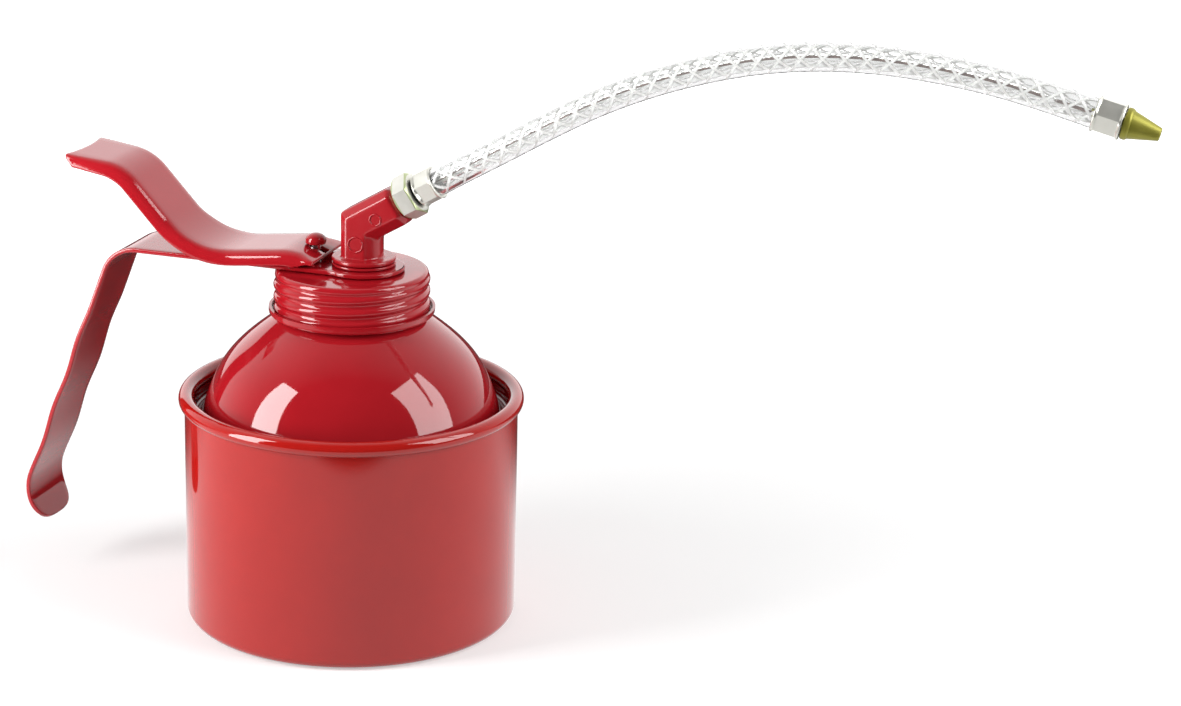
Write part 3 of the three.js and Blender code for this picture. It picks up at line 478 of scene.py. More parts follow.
# %% Outlines
SHARPEST_MITRE = 0.3


def arc(centre, radius, start, end, steps=10):
    """Points on an arc about (radius, height), between two angles in degrees."""
    turns = [math.radians(start + (end - start) * i / steps) for i in range(steps + 1)]
    return [(centre[0] + radius * math.cos(t), centre[1] + radius * math.sin(t)) for t in turns]


def beside(line, distance):
    """The line, moved to its right by a distance."""
    moved = []
    for i, here in enumerate(line):
        before, after = Vector(line[max(i - 1, 0)]), Vector(line[min(i + 1, len(line) - 1)])
        into = (Vector(here) - before).normalized()
        out = (after - Vector(here)).normalized()
        ahead = (into + out).normalized()
        stretch = max(ahead.dot(out if out.length else into), SHARPEST_MITRE)
        moved.append(Vector(here) + Vector((ahead.y, -ahead.x)) * distance / stretch)
    return [tuple(point) for point in moved]


def sheet(line, thickness):
    """Both sides of a sheet: the line is its outer side, and the other side lies to the line's right."""
    return line + beside(line, thickness)[::-1]


print("an arc of", len(arc((0, 0), 1, 0, 90)), "points")


# %% The lathe
def lathe(outline, steps=144):
    bm = bmesh.new()
    points = [bm.verts.new((radius, 0, height)) for radius, height in outline]
    edges = [bm.edges.new(pair) for pair in zip(points, points[1:])]
    bmesh.ops.spin(bm, geom=points + edges, axis=(0, 0, 1), angle=math.tau, steps=steps, use_merge=True)
    bmesh.ops.remove_doubles(bm, verts=bm.verts, dist=SAME_POINT)
    bmesh.ops.recalc_face_normals(bm, faces=bm.faces)
    return bm


def placed(bm, matrix):
    bmesh.ops.transform(bm, matrix=matrix, verts=bm.verts)
    return bm


# %% [markdown]
# ## Red enamel
# The can, cap, grip, lever and elbow wear a glossy red enamel. Its colour is even, its gloss isn't: sprayed
# paint dries with a fine orange peel, which breaks up the edges of every highlight. Two layers of noise give
# the peel and a third shifts the tone by a little. The shader's own gloss and a thin clear coat do the rest.

# %% Red enamel
PATCH_MM = 14
FINE_PEEL = 0.35


def enamel(name, deep, clear, peel_mm, peel_depth, gloss):
    made = Finish(name)
    patches = made.noise(PATCH_MM)
    peel = made.noise(peel_mm) + FINE_PEEL * made.noise(peel_mm / 3)
    return made.surface({
        "Base Color": made.mix(patches, deep, clear),
        "Roughness": gloss + 0.03 * patches,
        "Normal": made.bump(peel, peel_depth),
        "IOR": 1.5,
        "Coat Weight": 0.25,
        "Coat Roughness": 0.03,
        "Coat IOR": 1.5,
    })


CUP_REDS = srgb(164, 21, 17), srgb(176, 26, 20)
DOME_REDS = srgb(154, 20, 28), srgb(168, 25, 34)
PUMP_REDS = srgb(160, 20, 29), srgb(174, 25, 35)
cup_enamel = enamel("cup_enamel", *CUP_REDS, peel_mm=2.4, peel_depth=0.004, gloss=0.05)
dome_enamel = enamel("dome_enamel", *DOME_REDS, peel_mm=2.4, peel_depth=0.004, gloss=0.04)
pressed_enamel = enamel("pressed_enamel", *PUMP_REDS, peel_mm=0.8, peel_depth=0.012, gloss=0.06)
cast_enamel = enamel("cast_enamel", *PUMP_REDS, peel_mm=0.7, peel_depth=0.03, gloss=0.2)
print("enamels:", [f.material.name for f in (cup_enamel, dome_enamel, pressed_enamel, cast_enamel)])

# %% [markdown]
# ## The can
# The cup is drawn from sheet, and its rim is rolled into a bead that stands a little past the wall. The dome
# is a second drawing, soldered inside the cup: its foot turns up again and leaves a drip gutter behind the
# rim. A screw thread is rolled into the neck, so the spun wall is pushed in and out along a helix.

# %% Cup
SHEET = 0.8
CUP_RADIUS, FOOT_ROUND = 48.0, 2.5
BEAD_RADIUS, BEAD_INSET = 2.2, 0.5

bead = (CUP_RADIUS - BEAD_INSET, box_mm("can_cup")[1].z - BEAD_RADIUS)
wall_inside = CUP_RADIUS - SHEET
bead_start = math.degrees(math.acos((CUP_RADIUS - bead[0]) / BEAD_RADIUS))
bead_end = math.degrees(math.acos((bead[0] - wall_inside) / BEAD_RADIUS))
cup_outline = [(0, 0)]
cup_outline += arc((CUP_RADIUS - FOOT_ROUND, FOOT_ROUND), FOOT_ROUND, -90, 0)
cup_outline += arc(bead, BEAD_RADIUS, -bead_start, 180 + bead_end, steps=40)
cup_outline += arc((CUP_RADIUS - FOOT_ROUND, FOOT_ROUND), FOOT_ROUND - SHEET, 0, -90)
cup_outline += [(0, SHEET)]
piece(lathe(cup_outline, steps=180), "cup_shell", "can", [cup_enamel], ["can_cup"])

# %% Rolled threads
PITCH, THREAD_DEPTH, THREAD_BLEND = 3.6, 0.45, 1.2
THREAD_FLATNESS = 1.6


def ease(share):
    share = min(max(share, 0), 1)
    return share * share * (3 - 2 * share)


def roll_thread(bm, bottom, top, least_radius):
    """Pushes a round wall in and out along a right-hand helix, which fades at both ends."""
    for point in bm.verts:
        radius = math.hypot(point.co.x, point.co.y)
        if radius < least_radius or not bottom < point.co.z < top:
            continue
        fade = ease((point.co.z - bottom) / THREAD_BLEND) * ease((top - point.co.z) / THREAD_BLEND)
        turn = math.tau * point.co.z / PITCH - math.atan2(point.co.y, point.co.x)
        wave = math.tanh(THREAD_FLATNESS * math.cos(turn)) / math.tanh(THREAD_FLATNESS)
        stretch = 1 + THREAD_DEPTH * fade * wave / radius
        point.co.x *= stretch
        point.co.y *= stretch


def rows(radius, top, bottom, step=0.25):
    """Points down an upright wall, close enough for a thread."""
    count = math.ceil((top - bottom) / step)
    return [(radius, top + (bottom - top) * i / count) for i in range(count + 1)]


print("thread:", PITCH, "mm a turn")

# %% Dome
NECK_RADIUS, NECK_FOOT, NECK_LIP = 20.75, 90.6, 20.3
NECK_TOP = box_mm("can_dome")[1].z
NECK_ROUND, MOUTH_RADIUS = 0.6, 18.6
THREAD_BOTTOM, THREAD_TOP = 91.6, 100.6
DOME_SLOPE, DOME_REACH = math.radians(-35.6), 19.0
FOOT_LEAN, FOOT_REACH = math.radians(17.5), 15.0
GUTTER_ROUND, GUTTER_EDGE = 1.45, 63.0
DOME_FOOT = Vector((43.2, 61.05))
DOME_ROWS = 48

neck_foot = Vector((NECK_RADIUS, NECK_FOOT))
leave = Vector((math.cos(DOME_SLOPE), math.sin(DOME_SLOPE))) * DOME_REACH
arrive = Vector((-math.sin(FOOT_LEAN), math.cos(FOOT_LEAN))) * FOOT_REACH
dome_line = [(MOUTH_RADIUS, NECK_TOP)]
dome_line += arc((NECK_LIP - NECK_ROUND, NECK_TOP - NECK_ROUND), NECK_ROUND, 90, 0, steps=5)
dome_line += rows(NECK_RADIUS, THREAD_TOP - NECK_ROUND, NECK_FOOT)
dome_curve = interpolate_bezier(neck_foot, neck_foot + leave, DOME_FOOT + arrive, DOME_FOOT, DOME_ROWS)
dome_line += [tuple(point) for point in dome_curve[1:]]
dome_line += arc((DOME_FOOT.x + GUTTER_ROUND, DOME_FOOT.y), GUTTER_ROUND, 180, 360, steps=14)[1:]
dome_line += [(DOME_FOOT.x + 2 * GUTTER_ROUND, GUTTER_EDGE)]
bm = lathe(sheet(dome_line, SHEET) + dome_line[:1], steps=180)
roll_thread(bm, THREAD_BOTTOM, THREAD_TOP, MOUTH_RADIUS)
piece(bm, "dome_shell", "can", [dome_enamel], ["can_dome"])

# %% [markdown]
# ## Screw cap
# The cap is pressed from the same sheet. Its wall carries a rolled thread, which shows as ridges that climb
# round it, and its lower edge flares out and curls up into a thin lip.

# %% Screw cap
CAP_TOP = box_mm("screw_cap")[1].z
CAP_RADIUS, CAP_SHOULDER = 21.9, 1.2
CAP_THREAD_BOTTOM = 92.1
CURL = (22.65, 91.8)
CURL_RADIUS, CURL_TOP = 0.3, 93.0

wall_top = CAP_TOP - CAP_SHOULDER
cap_line = [(0, CAP_TOP)]
cap_line += arc((CAP_RADIUS - CAP_SHOULDER, wall_top), CAP_SHOULDER, 90, 0, steps=12)
flare = CURL[0] - CURL_RADIUS - CAP_RADIUS
for radius, height in rows(CAP_RADIUS, wall_top, CURL[1])[1:]:
    out = ease((CAP_THREAD_BOTTOM + THREAD_BLEND - height) / THREAD_BLEND)
    cap_line.append((radius + flare * out, height))
cap_line += arc(CURL, CURL_RADIUS, 180, 360, steps=8)[1:]
cap_line += [(CURL[0] + CURL_RADIUS, CURL_TOP)]
bm = lathe([(max(radius, 0), height) for radius, height in sheet(cap_line, SHEET)], steps=180)
roll_thread(bm, CAP_THREAD_BOTTOM, wall_top, CAP_RADIUS - CAP_SHOULDER)
piece(bm, "cap_shell", "pump_head", [pressed_enamel], ["screw_cap"])

# %% [markdown]
# ## Grip strip
# One strip of sheet makes the grip. Its round end lies under the elbow, it runs back over the cap, bends down
# and waves where the fingers lie. A flat grid is laid along the strip's side view, each row as wide as the
# strip is there. Solidify then gives it its thickness, and a bevel eases the stamped edges.

# %% Side views as a walk
BEND_STEP = 4


def walk(start, heading, moves, step=2.5):
    """Points of a path of straight runs (length, 0) and bends (radius, degrees to the left)."""
    points = [Vector(start)]
    for size, turn in moves:
        if turn:
            count = math.ceil(abs(turn) / BEND_STEP)
            stride = 2 * size * math.sin(math.radians(abs(turn) / count) / 2)
        else:
            count = max(1, round(size / step))
            stride = size / count
        for _ in range(count):
            middle = math.radians(heading + turn / count / 2)
            points.append(points[-1] + Vector((math.cos(middle), math.sin(middle))) * stride)
            heading += turn / count
    return points


print("a quarter bend takes", len(walk((0, 0), 0, [(10, 90)])), "points")

# %% Pressed strips
HOLE_REACH = 1.8
CUT_ANGLE = math.radians(60)


def band(stations):
    """A flat grid laid through rows of points."""
    bm = bmesh.new()
    lengthwise, across = len(stations) - 1, len(stations[0]) - 1
    bmesh.ops.create_grid(bm, x_segments=lengthwise, y_segments=across, size=0.5)
    for point in bm.verts:
        row = round((point.co.x + 0.5) * lengthwise)
        column = round((point.co.y + 0.5) * across)
        point.co = stations[row][column]
    bmesh.ops.remove_doubles(bm, verts=bm.verts, dist=SAME_POINT)
    return bm


def drill(bm, x, radius):
    """Opens a round hole in a level band."""
    middles = [(face, face.calc_center_median()) for face in bm.faces]
    inside = [face for face, at in middles if math.hypot(at.x - x, at.y) < radius]
    bmesh.ops.delete(bm, geom=inside, context="FACES")
    for point in bm.verts:
        away = Vector((point.co.x - x, point.co.y))
        if point.is_boundary and away.length < HOLE_REACH * radius:
            away.normalize()
            point.co.x, point.co.y = x + away.x * radius, away.y * radius


def pressed(bm, thickness, ease_by):
    """Thickens a band under its face, and rounds its cut edges."""
    bmesh.ops.solidify(bm, geom=bm.faces[:], thickness=thickness)
    bmesh.ops.recalc_face_normals(bm, faces=bm.faces)
    cut = [e for e in bm.edges if len(e.link_faces) == 2 and e.calc_face_angle() > CUT_ANGLE]
    bmesh.ops.bevel(bm, geom=cut, offset=ease_by, segments=3, profile=0.5, affect="EDGES", material=-1)
    return bm


print("edges over", round(math.degrees(CUT_ANGLE)), "degrees count as cut")

# %% Grip strip, seen from the side
STRIP_TOP, STRIP_THICKNESS = 105.3, 1.3
STRIP_HALF, STRIP_END = 10.6, 11.8
GRIP_START, GRIP_BEND, GRIP_LEAN, GRIP_STRAIGHT = -63.0, 11.4, 20.9, 12.0
FINGER_WAVES, FINGER_PITCH, FINGER_DEPTH, ROWS_PER_WAVE = 2.5, 23.6, 0.6, 16
TAIL_BEND, TAIL_TURN, TAIL_LENGTH = 13.6, 55.0, 4.0
TIP_ROUND, TIP_BLUNT, TIP_ROWS = 9.3, 3.2, 18

end_turn = 180 - math.degrees(math.asin(STRIP_HALF / STRIP_END))
strip_rows = [(ELBOW_X + x, STRIP_TOP, half) for x, half in arc((0, 0), STRIP_END, 0, end_turn, steps=24)]
flat_start = strip_rows[-1][0]
moves = [(flat_start - GRIP_START, 0), (GRIP_BEND, 90 - GRIP_LEAN), (GRIP_STRAIGHT, 0)]
side_view = walk((flat_start, STRIP_TOP), 180, moves)
heading = 270 - GRIP_LEAN
down = Vector((math.cos(math.radians(heading)), math.sin(math.radians(heading))))
outward = Vector((down.y, -down.x))
waves_from = side_view[-1]
wave_rows = round(FINGER_WAVES * ROWS_PER_WAVE)
for i in range(1, wave_rows + 1):
    run = FINGER_WAVES * FINGER_PITCH * i / wave_rows
    swell = FINGER_DEPTH / 2 * (1 - math.cos(math.tau * run / FINGER_PITCH))
    side_view.append(waves_from + down * run + outward * swell)
side_view += walk(side_view[-1], heading, [(TAIL_BEND, TAIL_TURN)])[1:]
tail_from, tail_heading = side_view[-1], math.radians(heading + TAIL_TURN)
tail_down = Vector((math.cos(tail_heading), math.sin(tail_heading)))
lowest = tail_from.y + TAIL_LENGTH * tail_down.y
round_from = (lowest + TIP_ROUND - tail_from.y) / TIP_ROUND
turn_from = math.asin(round_from)
for i in range(1, TIP_ROWS + 1):
    run = math.sin(turn_from + (math.pi / 2 - turn_from) * i / TIP_ROWS)
    side_view.append(tail_from + tail_down * TAIL_LENGTH * (run - round_from) / (1 - round_from))
for x, z in side_view[1:]:
    into_round = max(0, (lowest + TIP_ROUND - z) / TIP_ROUND)
    narrowed = max(0, 1 - into_round ** TIP_BLUNT) ** (1 / TIP_BLUNT)
    strip_rows.append((x, z, STRIP_HALF * narrowed))
print("strip:", len(strip_rows), "rows, the lowest at", round(lowest, 1), "mm")

# %% Grip strip
ROD_X, ROD_HOLE = -11.1, 1.9
STUD_HOLE = 4.5
STRIP_COLUMNS, STRIP_EASE = 10, 0.4

shares = [1 - 2 * i / STRIP_COLUMNS for i in range(STRIP_COLUMNS + 1)]
bm = band([[Vector((x, half * share, z)) for share in shares] for x, z, half in strip_rows])
drill(bm, ROD_X, ROD_HOLE)
drill(bm, ELBOW_X, STUD_HOLE)
bm = pressed(bm, STRIP_THICKNESS, STRIP_EASE)
piece(bm, "grip_strip", "pump_head", [pressed_enamel], ["grip_handle"])

# %% Bead under the lever
FULCRUM_X, FULCRUM_RADIUS = -36.0, 1.05
BEAD_END, BEAD_TURN = 0.4, 20

bead_half = STRIP_HALF - FULCRUM_RADIUS
bead_line = [(0, -bead_half)] + arc((0, -bead_half + BEAD_END), FULCRUM_RADIUS, -BEAD_TURN, 0, steps=3)
bead_line += arc((0, bead_half - BEAD_END), FULCRUM_RADIUS, 0, BEAD_TURN, steps=3) + [(0, bead_half)]
bm = lathe(bead_line, steps=24)
placed(bm, Matrix.Translation((FULCRUM_X, 0, STRIP_TOP)) @ Matrix.Rotation(math.pi / 2, 4, "X"))
piece(bm, "rocking_bead", "pump_head", [pressed_enamel])

# %% [markdown]
# ## Thumb lever
# The lever is a pressed channel: a top plate whose two cheeks hang over the strip. In a press the sheet bends
# round a radius, so the section is drawn with round bends and follows the lever's side view. The cheeks run
# out towards the nose, where a fork takes the rod, and get shallower towards the thumb, where the end is cut
# hollow. Over the strip the bends are tighter, which leaves room for the strip's edges when the lever is
# pressed.

# %% Thumb lever, seen from the side
LEVER_PLATE, LEVER_GAP = 1.2, 0.3
LEVER_BACK, BACK_STEP = [(23, -47), (14.2, 0), (15, 41), (12.4, 0)], 1.2
LEVER_FRONT, FRONT_STEP = [(35, 6.5), (13.97, 0), (18, -26.5), (3, 0)], 0.5

lever_top = STRIP_TOP + FULCRUM_RADIUS + LEVER_GAP + LEVER_PLATE
lever_back = walk((FULCRUM_X, lever_top), 180, LEVER_BACK, BACK_STEP)
lever_front = walk((FULCRUM_X, lever_top), 0, LEVER_FRONT, FRONT_STEP)
lever_line = lever_back[:0:-1] + lever_front
tip_x, nose_x = lever_line[0].x, lever_line[-1].x
print("lever from", round(tip_x, 1), "to", round(nose_x, 1), "mm, cad box", box_mm("thumb_lever"))

# %% The lever's section
LEVER_HALF = 12.2
LEVER_ROUND, ROUND_AT_TIP, ROUND_ON_STRIP = 3.3, 1.7, 2.4
STRIP_ZONE, ZONE_FADE = (-52.0, -34.0), 5.0
CHEEK_DEPTH, CHEEK_AT_TIP = 4.1, 3.4
NOSE_TAPER, TIP_TAPER = 6.0, 20.0
TIP_SLANT, TIP_HOLLOW, TIP_RUN = 3.0, 1.5, 8.0
FORK_HALF = 1.7
PLATE_COLUMNS = (-7.5, -4.5, -FORK_HALF, 0, FORK_HALF, 4.5, 7.5)


def cheek_depth(x):
    from_tip = CHEEK_AT_TIP + (CHEEK_DEPTH - CHEEK_AT_TIP) * ease((x - tip_x) / TIP_TAPER)
    return LEVER_PLATE + (from_tip - LEVER_PLATE) * ease((nose_x - x) / NOSE_TAPER)


def lever_row(number):
    """The channel's outer side, seen along the lever, at one point of its side view."""
    here, ahead = lever_line[number], ahead_at(lever_line, number)
    depth = cheek_depth(here.x)
    on_strip = ease((here.x - STRIP_ZONE[0]) / ZONE_FADE) * ease((STRIP_ZONE[1] - here.x) / ZONE_FADE)
    round_by = LEVER_ROUND + (ROUND_ON_STRIP - LEVER_ROUND) * on_strip
    round_by = ROUND_AT_TIP + (round_by - ROUND_AT_TIP) * ease((here.x - tip_x) / TIP_TAPER)
    round_by = min(round_by, depth)
    cheek = [(-LEVER_HALF, -depth), (-LEVER_HALF, -(depth + round_by) / 2)]
    cheek += arc((-LEVER_HALF + round_by, -round_by), round_by, 180, 90, steps=6)
    plate = [(y, 0) for y in PLATE_COLUMNS]
    across = cheek + plate + [(-y, drop) for y, drop in reversed(cheek)]
    at_tip = max(0, 1 - (here.x - tip_x) / TIP_RUN)
    row = []
    for y, drop in across:
        hollow = TIP_HOLLOW * (1 - (y / LEVER_HALF) ** 2)
        along = at_tip * (hollow - TIP_SLANT * drop / depth)
        at = here + Vector((-ahead.y, ahead.x)) * drop + ahead * along
        row.append(Vector((at.x, y, at.y)))
    return row


print("section of", len(lever_row(0)), "points")

# %% Thumb lever
SLOT_FRONT, LEVER_EASE = 3.35, 0.3

bm = band([lever_row(number) for number in range(len(lever_line))])
middles = [(face, face.calc_center_median()) for face in bm.faces]
fork = [face for face, at in middles if abs(at.y) < FORK_HALF and -FORK_HALF < at.x - ROD_X < SLOT_FRONT]
bmesh.ops.delete(bm, geom=fork, context="FACES")
bm = pressed(bm, LEVER_PLATE, LEVER_EASE)
piece(bm, "lever_channel", "lever", [pressed_enamel], ["thumb_lever"])

# %% [markdown]
# ## Rod
# The rod's domed head stands in the fork. It was painted together with the lever, while the rod below stays
# bright where it slides through its packing. One outline makes both, and the faces above the strip take the
# paint. Below the cap a spring sits between the pump's block and the piston. It is a small circle that spins
# and climbs at the same time.

# %% Metal finishes
def metal(name, dark, light, gloss, grain_mm=0.5, grain_depth=0.002):
    made = Finish(name)
    patches = made.noise(3, detail=4)
    return made.surface({
        "Base Color": made.mix(patches, dark, light),
        "Metallic": 1.0,
        "Roughness": gloss + 0.12 * patches,
        "Normal": made.bump(made.noise(grain_mm), grain_depth),
    })


bright_steel = metal("bright_steel", srgb(178, 178, 180), srgb(206, 206, 208), gloss=0.2)
print("steel:", bright_steel.material.name)

# %% Rod with its head
ROD_RADIUS, PAINT_FROM = 1.5, STRIP_TOP + 1
HEAD_RADIUS, HEAD_HEIGHT, HEAD_RIM, HEAD_EASE = 3.0, 3.0, 0.9, 0.3

rod_low, rod_high = box_mm("piston_rod")
head_bottom = rod_high.z - HEAD_HEIGHT
rim_inside = HEAD_RADIUS - HEAD_EASE
rod_outline = [(0, rod_low.z), (ROD_RADIUS, rod_low.z), (ROD_RADIUS, head_bottom), (rim_inside, head_bottom)]
rod_outline += arc((rim_inside, head_bottom + HEAD_EASE), HEAD_EASE, -60, 0, steps=3)
for out, up in arc((0, 0), 1, 0, 90, steps=14):
    rod_outline.append((HEAD_RADIUS * out, head_bottom + HEAD_RIM + (HEAD_HEIGHT - HEAD_RIM) * up))
bm = placed(lathe(rod_outline, steps=64), Matrix.Translation((ROD_X, 0, 0)))
for face in bm.faces:
    face.material_index = int(face.calc_center_median().z > PAINT_FROM)
piece(bm, "rod_with_head", "plunger", [bright_steel, pressed_enamel], ["piston_rod"])

# %% Return spring
COIL_RADIUS, WIRE_RADIUS, COILS, COIL_STEPS = 3.1, 0.35, 7, 32

spring_low, spring_high = box_mm("return_spring")
climb = (spring_high.z - spring_low.z - 2 * WIRE_RADIUS) / (COILS * COIL_STEPS)
bm = bmesh.new()
bmesh.ops.create_circle(bm, segments=10, radius=WIRE_RADIUS)
wire_end = Matrix.Translation((COIL_RADIUS, 0, spring_low.z + WIRE_RADIUS))
placed(bm, wire_end @ Matrix.Rotation(math.pi / 2, 4, "X"))
bmesh.ops.spin(bm, geom=bm.verts[:] + bm.edges[:], cent=(0, 0, 0), axis=(0, 0, 1), dvec=(0, 0, climb),
               angle=math.tau * COILS, steps=COILS * COIL_STEPS)
bmesh.ops.holes_fill(bm, edges=[e for e in bm.edges if e.is_boundary])
placed(bm, Matrix.Translation((ROD_X, 0, 0)))
spring = piece(bm, "wound_spring", "pump_head", [bright_steel], ["return_spring"])
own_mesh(spring)
print("spring from", round(spring_low.z, 1), "to", round(spring_high.z, 1), "mm")

# %% [markdown]
# ## Elbow
# The elbow is cast: a block with flat sides and broad chamfers, a round neck and a flange in one. Cast
# corners are never sharp, so the plain forms are fused by a voxel remesh and then smoothed a little, which
# leaves the fillets that a mould leaves. Two plain raised rings stand on its front face.

# %% Blocks and chamfers
NEAR = 0.1


def block(side_view, half):
    """A block with flat sides, drawn out across from its side view."""
    bm = bmesh.new()
    side = bm.faces.new([bm.verts.new((x, -half, z)) for x, z in side_view])
    made = bmesh.ops.extrude_face_region(bm, geom=[side])["geom"]
    far = [item for item in made if isinstance(item, bmesh.types.BMVert)]
    bmesh.ops.translate(bm, verts=far, vec=(0, 2 * half, 0))
    bmesh.ops.recalc_face_normals(bm, faces=bm.faces)
    return bm


def chamfer(bm, offset, wanted):
    """Cuts off the edges that are wanted at both ends."""
    edges = [e for e in bm.edges if all(wanted(v.co) for v in e.verts)]
    bmesh.ops.bevel(bm, geom=edges, offset=offset, segments=1, profile=0.5, affect="EDGES", material=-1)


print("corners within", NEAR, "mm of a line lie on it")

# %% Arm and stem
ELBOW_HALF, STEM_FROM, STEM_TO, STEM_RIGHT = 5.7, 0.6, 9.0, 2.4
SPOUT_LENGTH, SPOUT_ABOVE, SPOUT_BELOW = 13.3, 5.0, 6.5
STEM_CHAMFER, ARM_CHAMFER, UNDER_CHAMFER, END_CHAMFER = 2.1, 2.2, 2.9, 1.2


def arm_point(distance, side):
    at = on_spout(distance) @ Vector((-side, 0, 0)) - Vector((ELBOW_X, 0, ELBOW_SEAT))
    return at.x, at.z


arm_top, arm_low = arm_point(SPOUT_LENGTH, SPOUT_ABOVE), arm_point(SPOUT_LENGTH, -SPOUT_BELOW)
rise = math.tan(SPOUT_ANGLE)
arm_back = [(-ELBOW_HALF, end[1] - (end[0] + ELBOW_HALF) * rise) for end in (arm_top, arm_low)]
arm_form = block([arm_back[1], arm_low, arm_top, arm_back[0]], ELBOW_HALF)
stem_view = [(-ELBOW_HALF, STEM_FROM), (STEM_RIGHT, STEM_FROM)]
stem_view += [(STEM_RIGHT, STEM_TO), (-ELBOW_HALF, STEM_TO)]
stem_form = block(stem_view, ELBOW_HALF)
for y in (-ELBOW_HALF, ELBOW_HALF):
    def off_line(at, end):
        """How far a corner of this side lies above the slanting line through an end of the arm."""
        return at.z - end[1] - rise * (at.x - end[0]) if abs(at.y - y) < NEAR else math.inf

    chamfer(arm_form, UNDER_CHAMFER, lambda at: abs(off_line(at, arm_low)) < NEAR)
    chamfer(arm_form, ARM_CHAMFER, lambda at: abs(off_line(at, arm_top)) < NEAR)
    for form in (arm_form, stem_form):
        chamfer(form, STEM_CHAMFER, lambda at: abs(at.y - y) < NEAR and at.x < NEAR - ELBOW_HALF)
chamfer(arm_form, END_CHAMFER, lambda at: abs(at.z - arm_low[1] + (at.x - arm_low[0]) / rise) < NEAR)
print("arm and stem have", len(arm_form.faces), "and", len(stem_form.faces), "faces")

# %% Neck and flange
NECK_FROM, NECK_TO = 0.4, 8.5
FLANGE_RADIUS, FLANGE_THICKNESS, EASE_BELOW, EASE_ABOVE = 9.15, 1.3, 0.25, 0.35

neck_form = lathe([(0, NECK_FROM), (ELBOW_HALF, NECK_FROM), (ELBOW_HALF, NECK_TO), (0, NECK_TO)], steps=72)
flange_line = [(0, 0)] + arc((FLANGE_RADIUS - EASE_BELOW, EASE_BELOW), EASE_BELOW, -90, 0, steps=3)
flange_line += arc((FLANGE_RADIUS - EASE_ABOVE, FLANGE_THICKNESS - EASE_ABOVE), EASE_ABOVE, 0, 90, steps=3)
flange_form = lathe(flange_line + [(0, FLANGE_THICKNESS)], steps=96)
print("neck and flange have", len(neck_form.faces), "and", len(flange_form.faces), "faces")


# %% Fuse forms
def fused(forms, grain, smoothing):
    """Closed forms fused by a voxel remesh and smoothed, as a new bmesh."""
    mesh = bpy.data.meshes.new("forms")
    bm = joined(forms)
    bm.to_mesh(mesh)
    bm.free()
    holder = bpy.data.objects.new("forms", mesh)
    bpy.context.collection.objects.link(holder)
    remesh = holder.modifiers.new("fuse", "REMESH")
    remesh.mode = "VOXEL"
    remesh.voxel_size = grain
    smooth = holder.modifiers.new("ease", "SMOOTH")
    smooth.factor = 0.5
    smooth.iterations = smoothing
    cast = bpy.data.meshes.new_from_object(holder.evaluated_get(bpy.context.evaluated_depsgraph_get()))
    bm = bmesh.new()
    bm.from_mesh(cast)
    bpy.data.objects.remove(holder)
    bpy.data.meshes.remove(mesh)
    bpy.data.meshes.remove(cast)
    return bm


# %% Cast the elbow in one
GRAIN = 0.28
RINGS, RING_WIRE = [((5.6, 13.6), 1.65), ((-0.4, 5.7), 2.15)], 0.28

body_form = fused([arm_form, stem_form, neck_form], GRAIN, smoothing=14)
elbow_forms = [fused([body_form, flange_form], GRAIN, smoothing=3)]
for (x, z), radius in RINGS:
    wire = lathe(arc((radius, 0), RING_WIRE, 0, 360, steps=10), steps=40)
    stand = Matrix.Translation((x, -ELBOW_HALF, z)) @ Matrix.Rotation(math.pi / 2, 4, "X")
    elbow_forms.append(placed(wire, stand))
bm = placed(joined(elbow_forms), Matrix.Translation((ELBOW_X, 0, ELBOW_SEAT)))
piece(bm, "elbow_casting", "pump_head", [cast_enamel], ["spout_elbow"], crisp=60)

# %% Washer under the elbow
WASHER_EASE = 0.2

washer_low, washer_high = box_mm("elbow_washer")
edge = FLANGE_RADIUS - WASHER_EASE
washer_outline = [(STUD_HOLE, washer_low.z)]
washer_outline += arc((edge, washer_low.z + WASHER_EASE), WASHER_EASE, -90, 0, steps=2)
washer_outline += arc((edge, washer_high.z - WASHER_EASE), WASHER_EASE, 0, 90, steps=2)
washer_outline += [(STUD_HOLE, washer_high.z), (STUD_HOLE, washer_low.z)]
bm = placed(lathe(washer_outline, steps=96), Matrix.Translation((ELBOW_X, 0, 0)))
piece(bm, "flange_washer", "pump_head", [cast_enamel], ["elbow_washer"])

# %% [markdown]
# ## Hose fitting, ferrules and nozzle
# The fitting's hexagon and the ferrules are zinc plated, the nozzle has a yellow chromate. All are turned on
# a lathe first. A hexagon is a turned form whose points are held inside six flats, so its chamfers come out
# as the curved edges that a real nut has, and it stands at the angle at which it was tightened. A ferrule is
# pressed by a hexagonal tool, only along its middle. The fitting's collar between hexagon and ferrule gets
# the black rubber finish as painted shade, a dark ring for the shadowed gap there. The plating looks
# yellow-green along the hexagon's chamfers, so these faces have a finish of their own too.

# %% Plated finishes
zinc_plate = metal("zinc_plate", srgb(226, 225, 214), srgb(244, 243, 236), gloss=0.3)
pale_chromate = metal("pale_chromate", srgb(180, 192, 140), srgb(208, 216, 176), gloss=0.3)
yellow_chromate = metal("yellow_chromate", srgb(142, 139, 44), srgb(164, 158, 66), gloss=0.36)
for plating in (zinc_plate, pale_chromate):
    plating.surface({"Metallic": 0.8})
yellow_chromate.surface({"Metallic": 0.45})
# Black rubber serves the rubber parts inside the can, and on the fitting's collar it is painted shade.
black_rubber = Finish("black_rubber")
black_rubber.surface({
    "Base Color": black_rubber.mix(black_rubber.noise(2), srgb(22, 22, 22), srgb(40, 40, 40)),
    "Roughness": 0.6 + 0.2 * black_rubber.noise(1),
    "Normal": black_rubber.bump(black_rubber.noise(0.3), 0.02),
})
print("platings:", [f.material.name for f in (zinc_plate, pale_chromate, yellow_chromate)])

# %% Six flats on a turned form
FLAT = math.radians(60)
NEAR_AXIS = 1.0


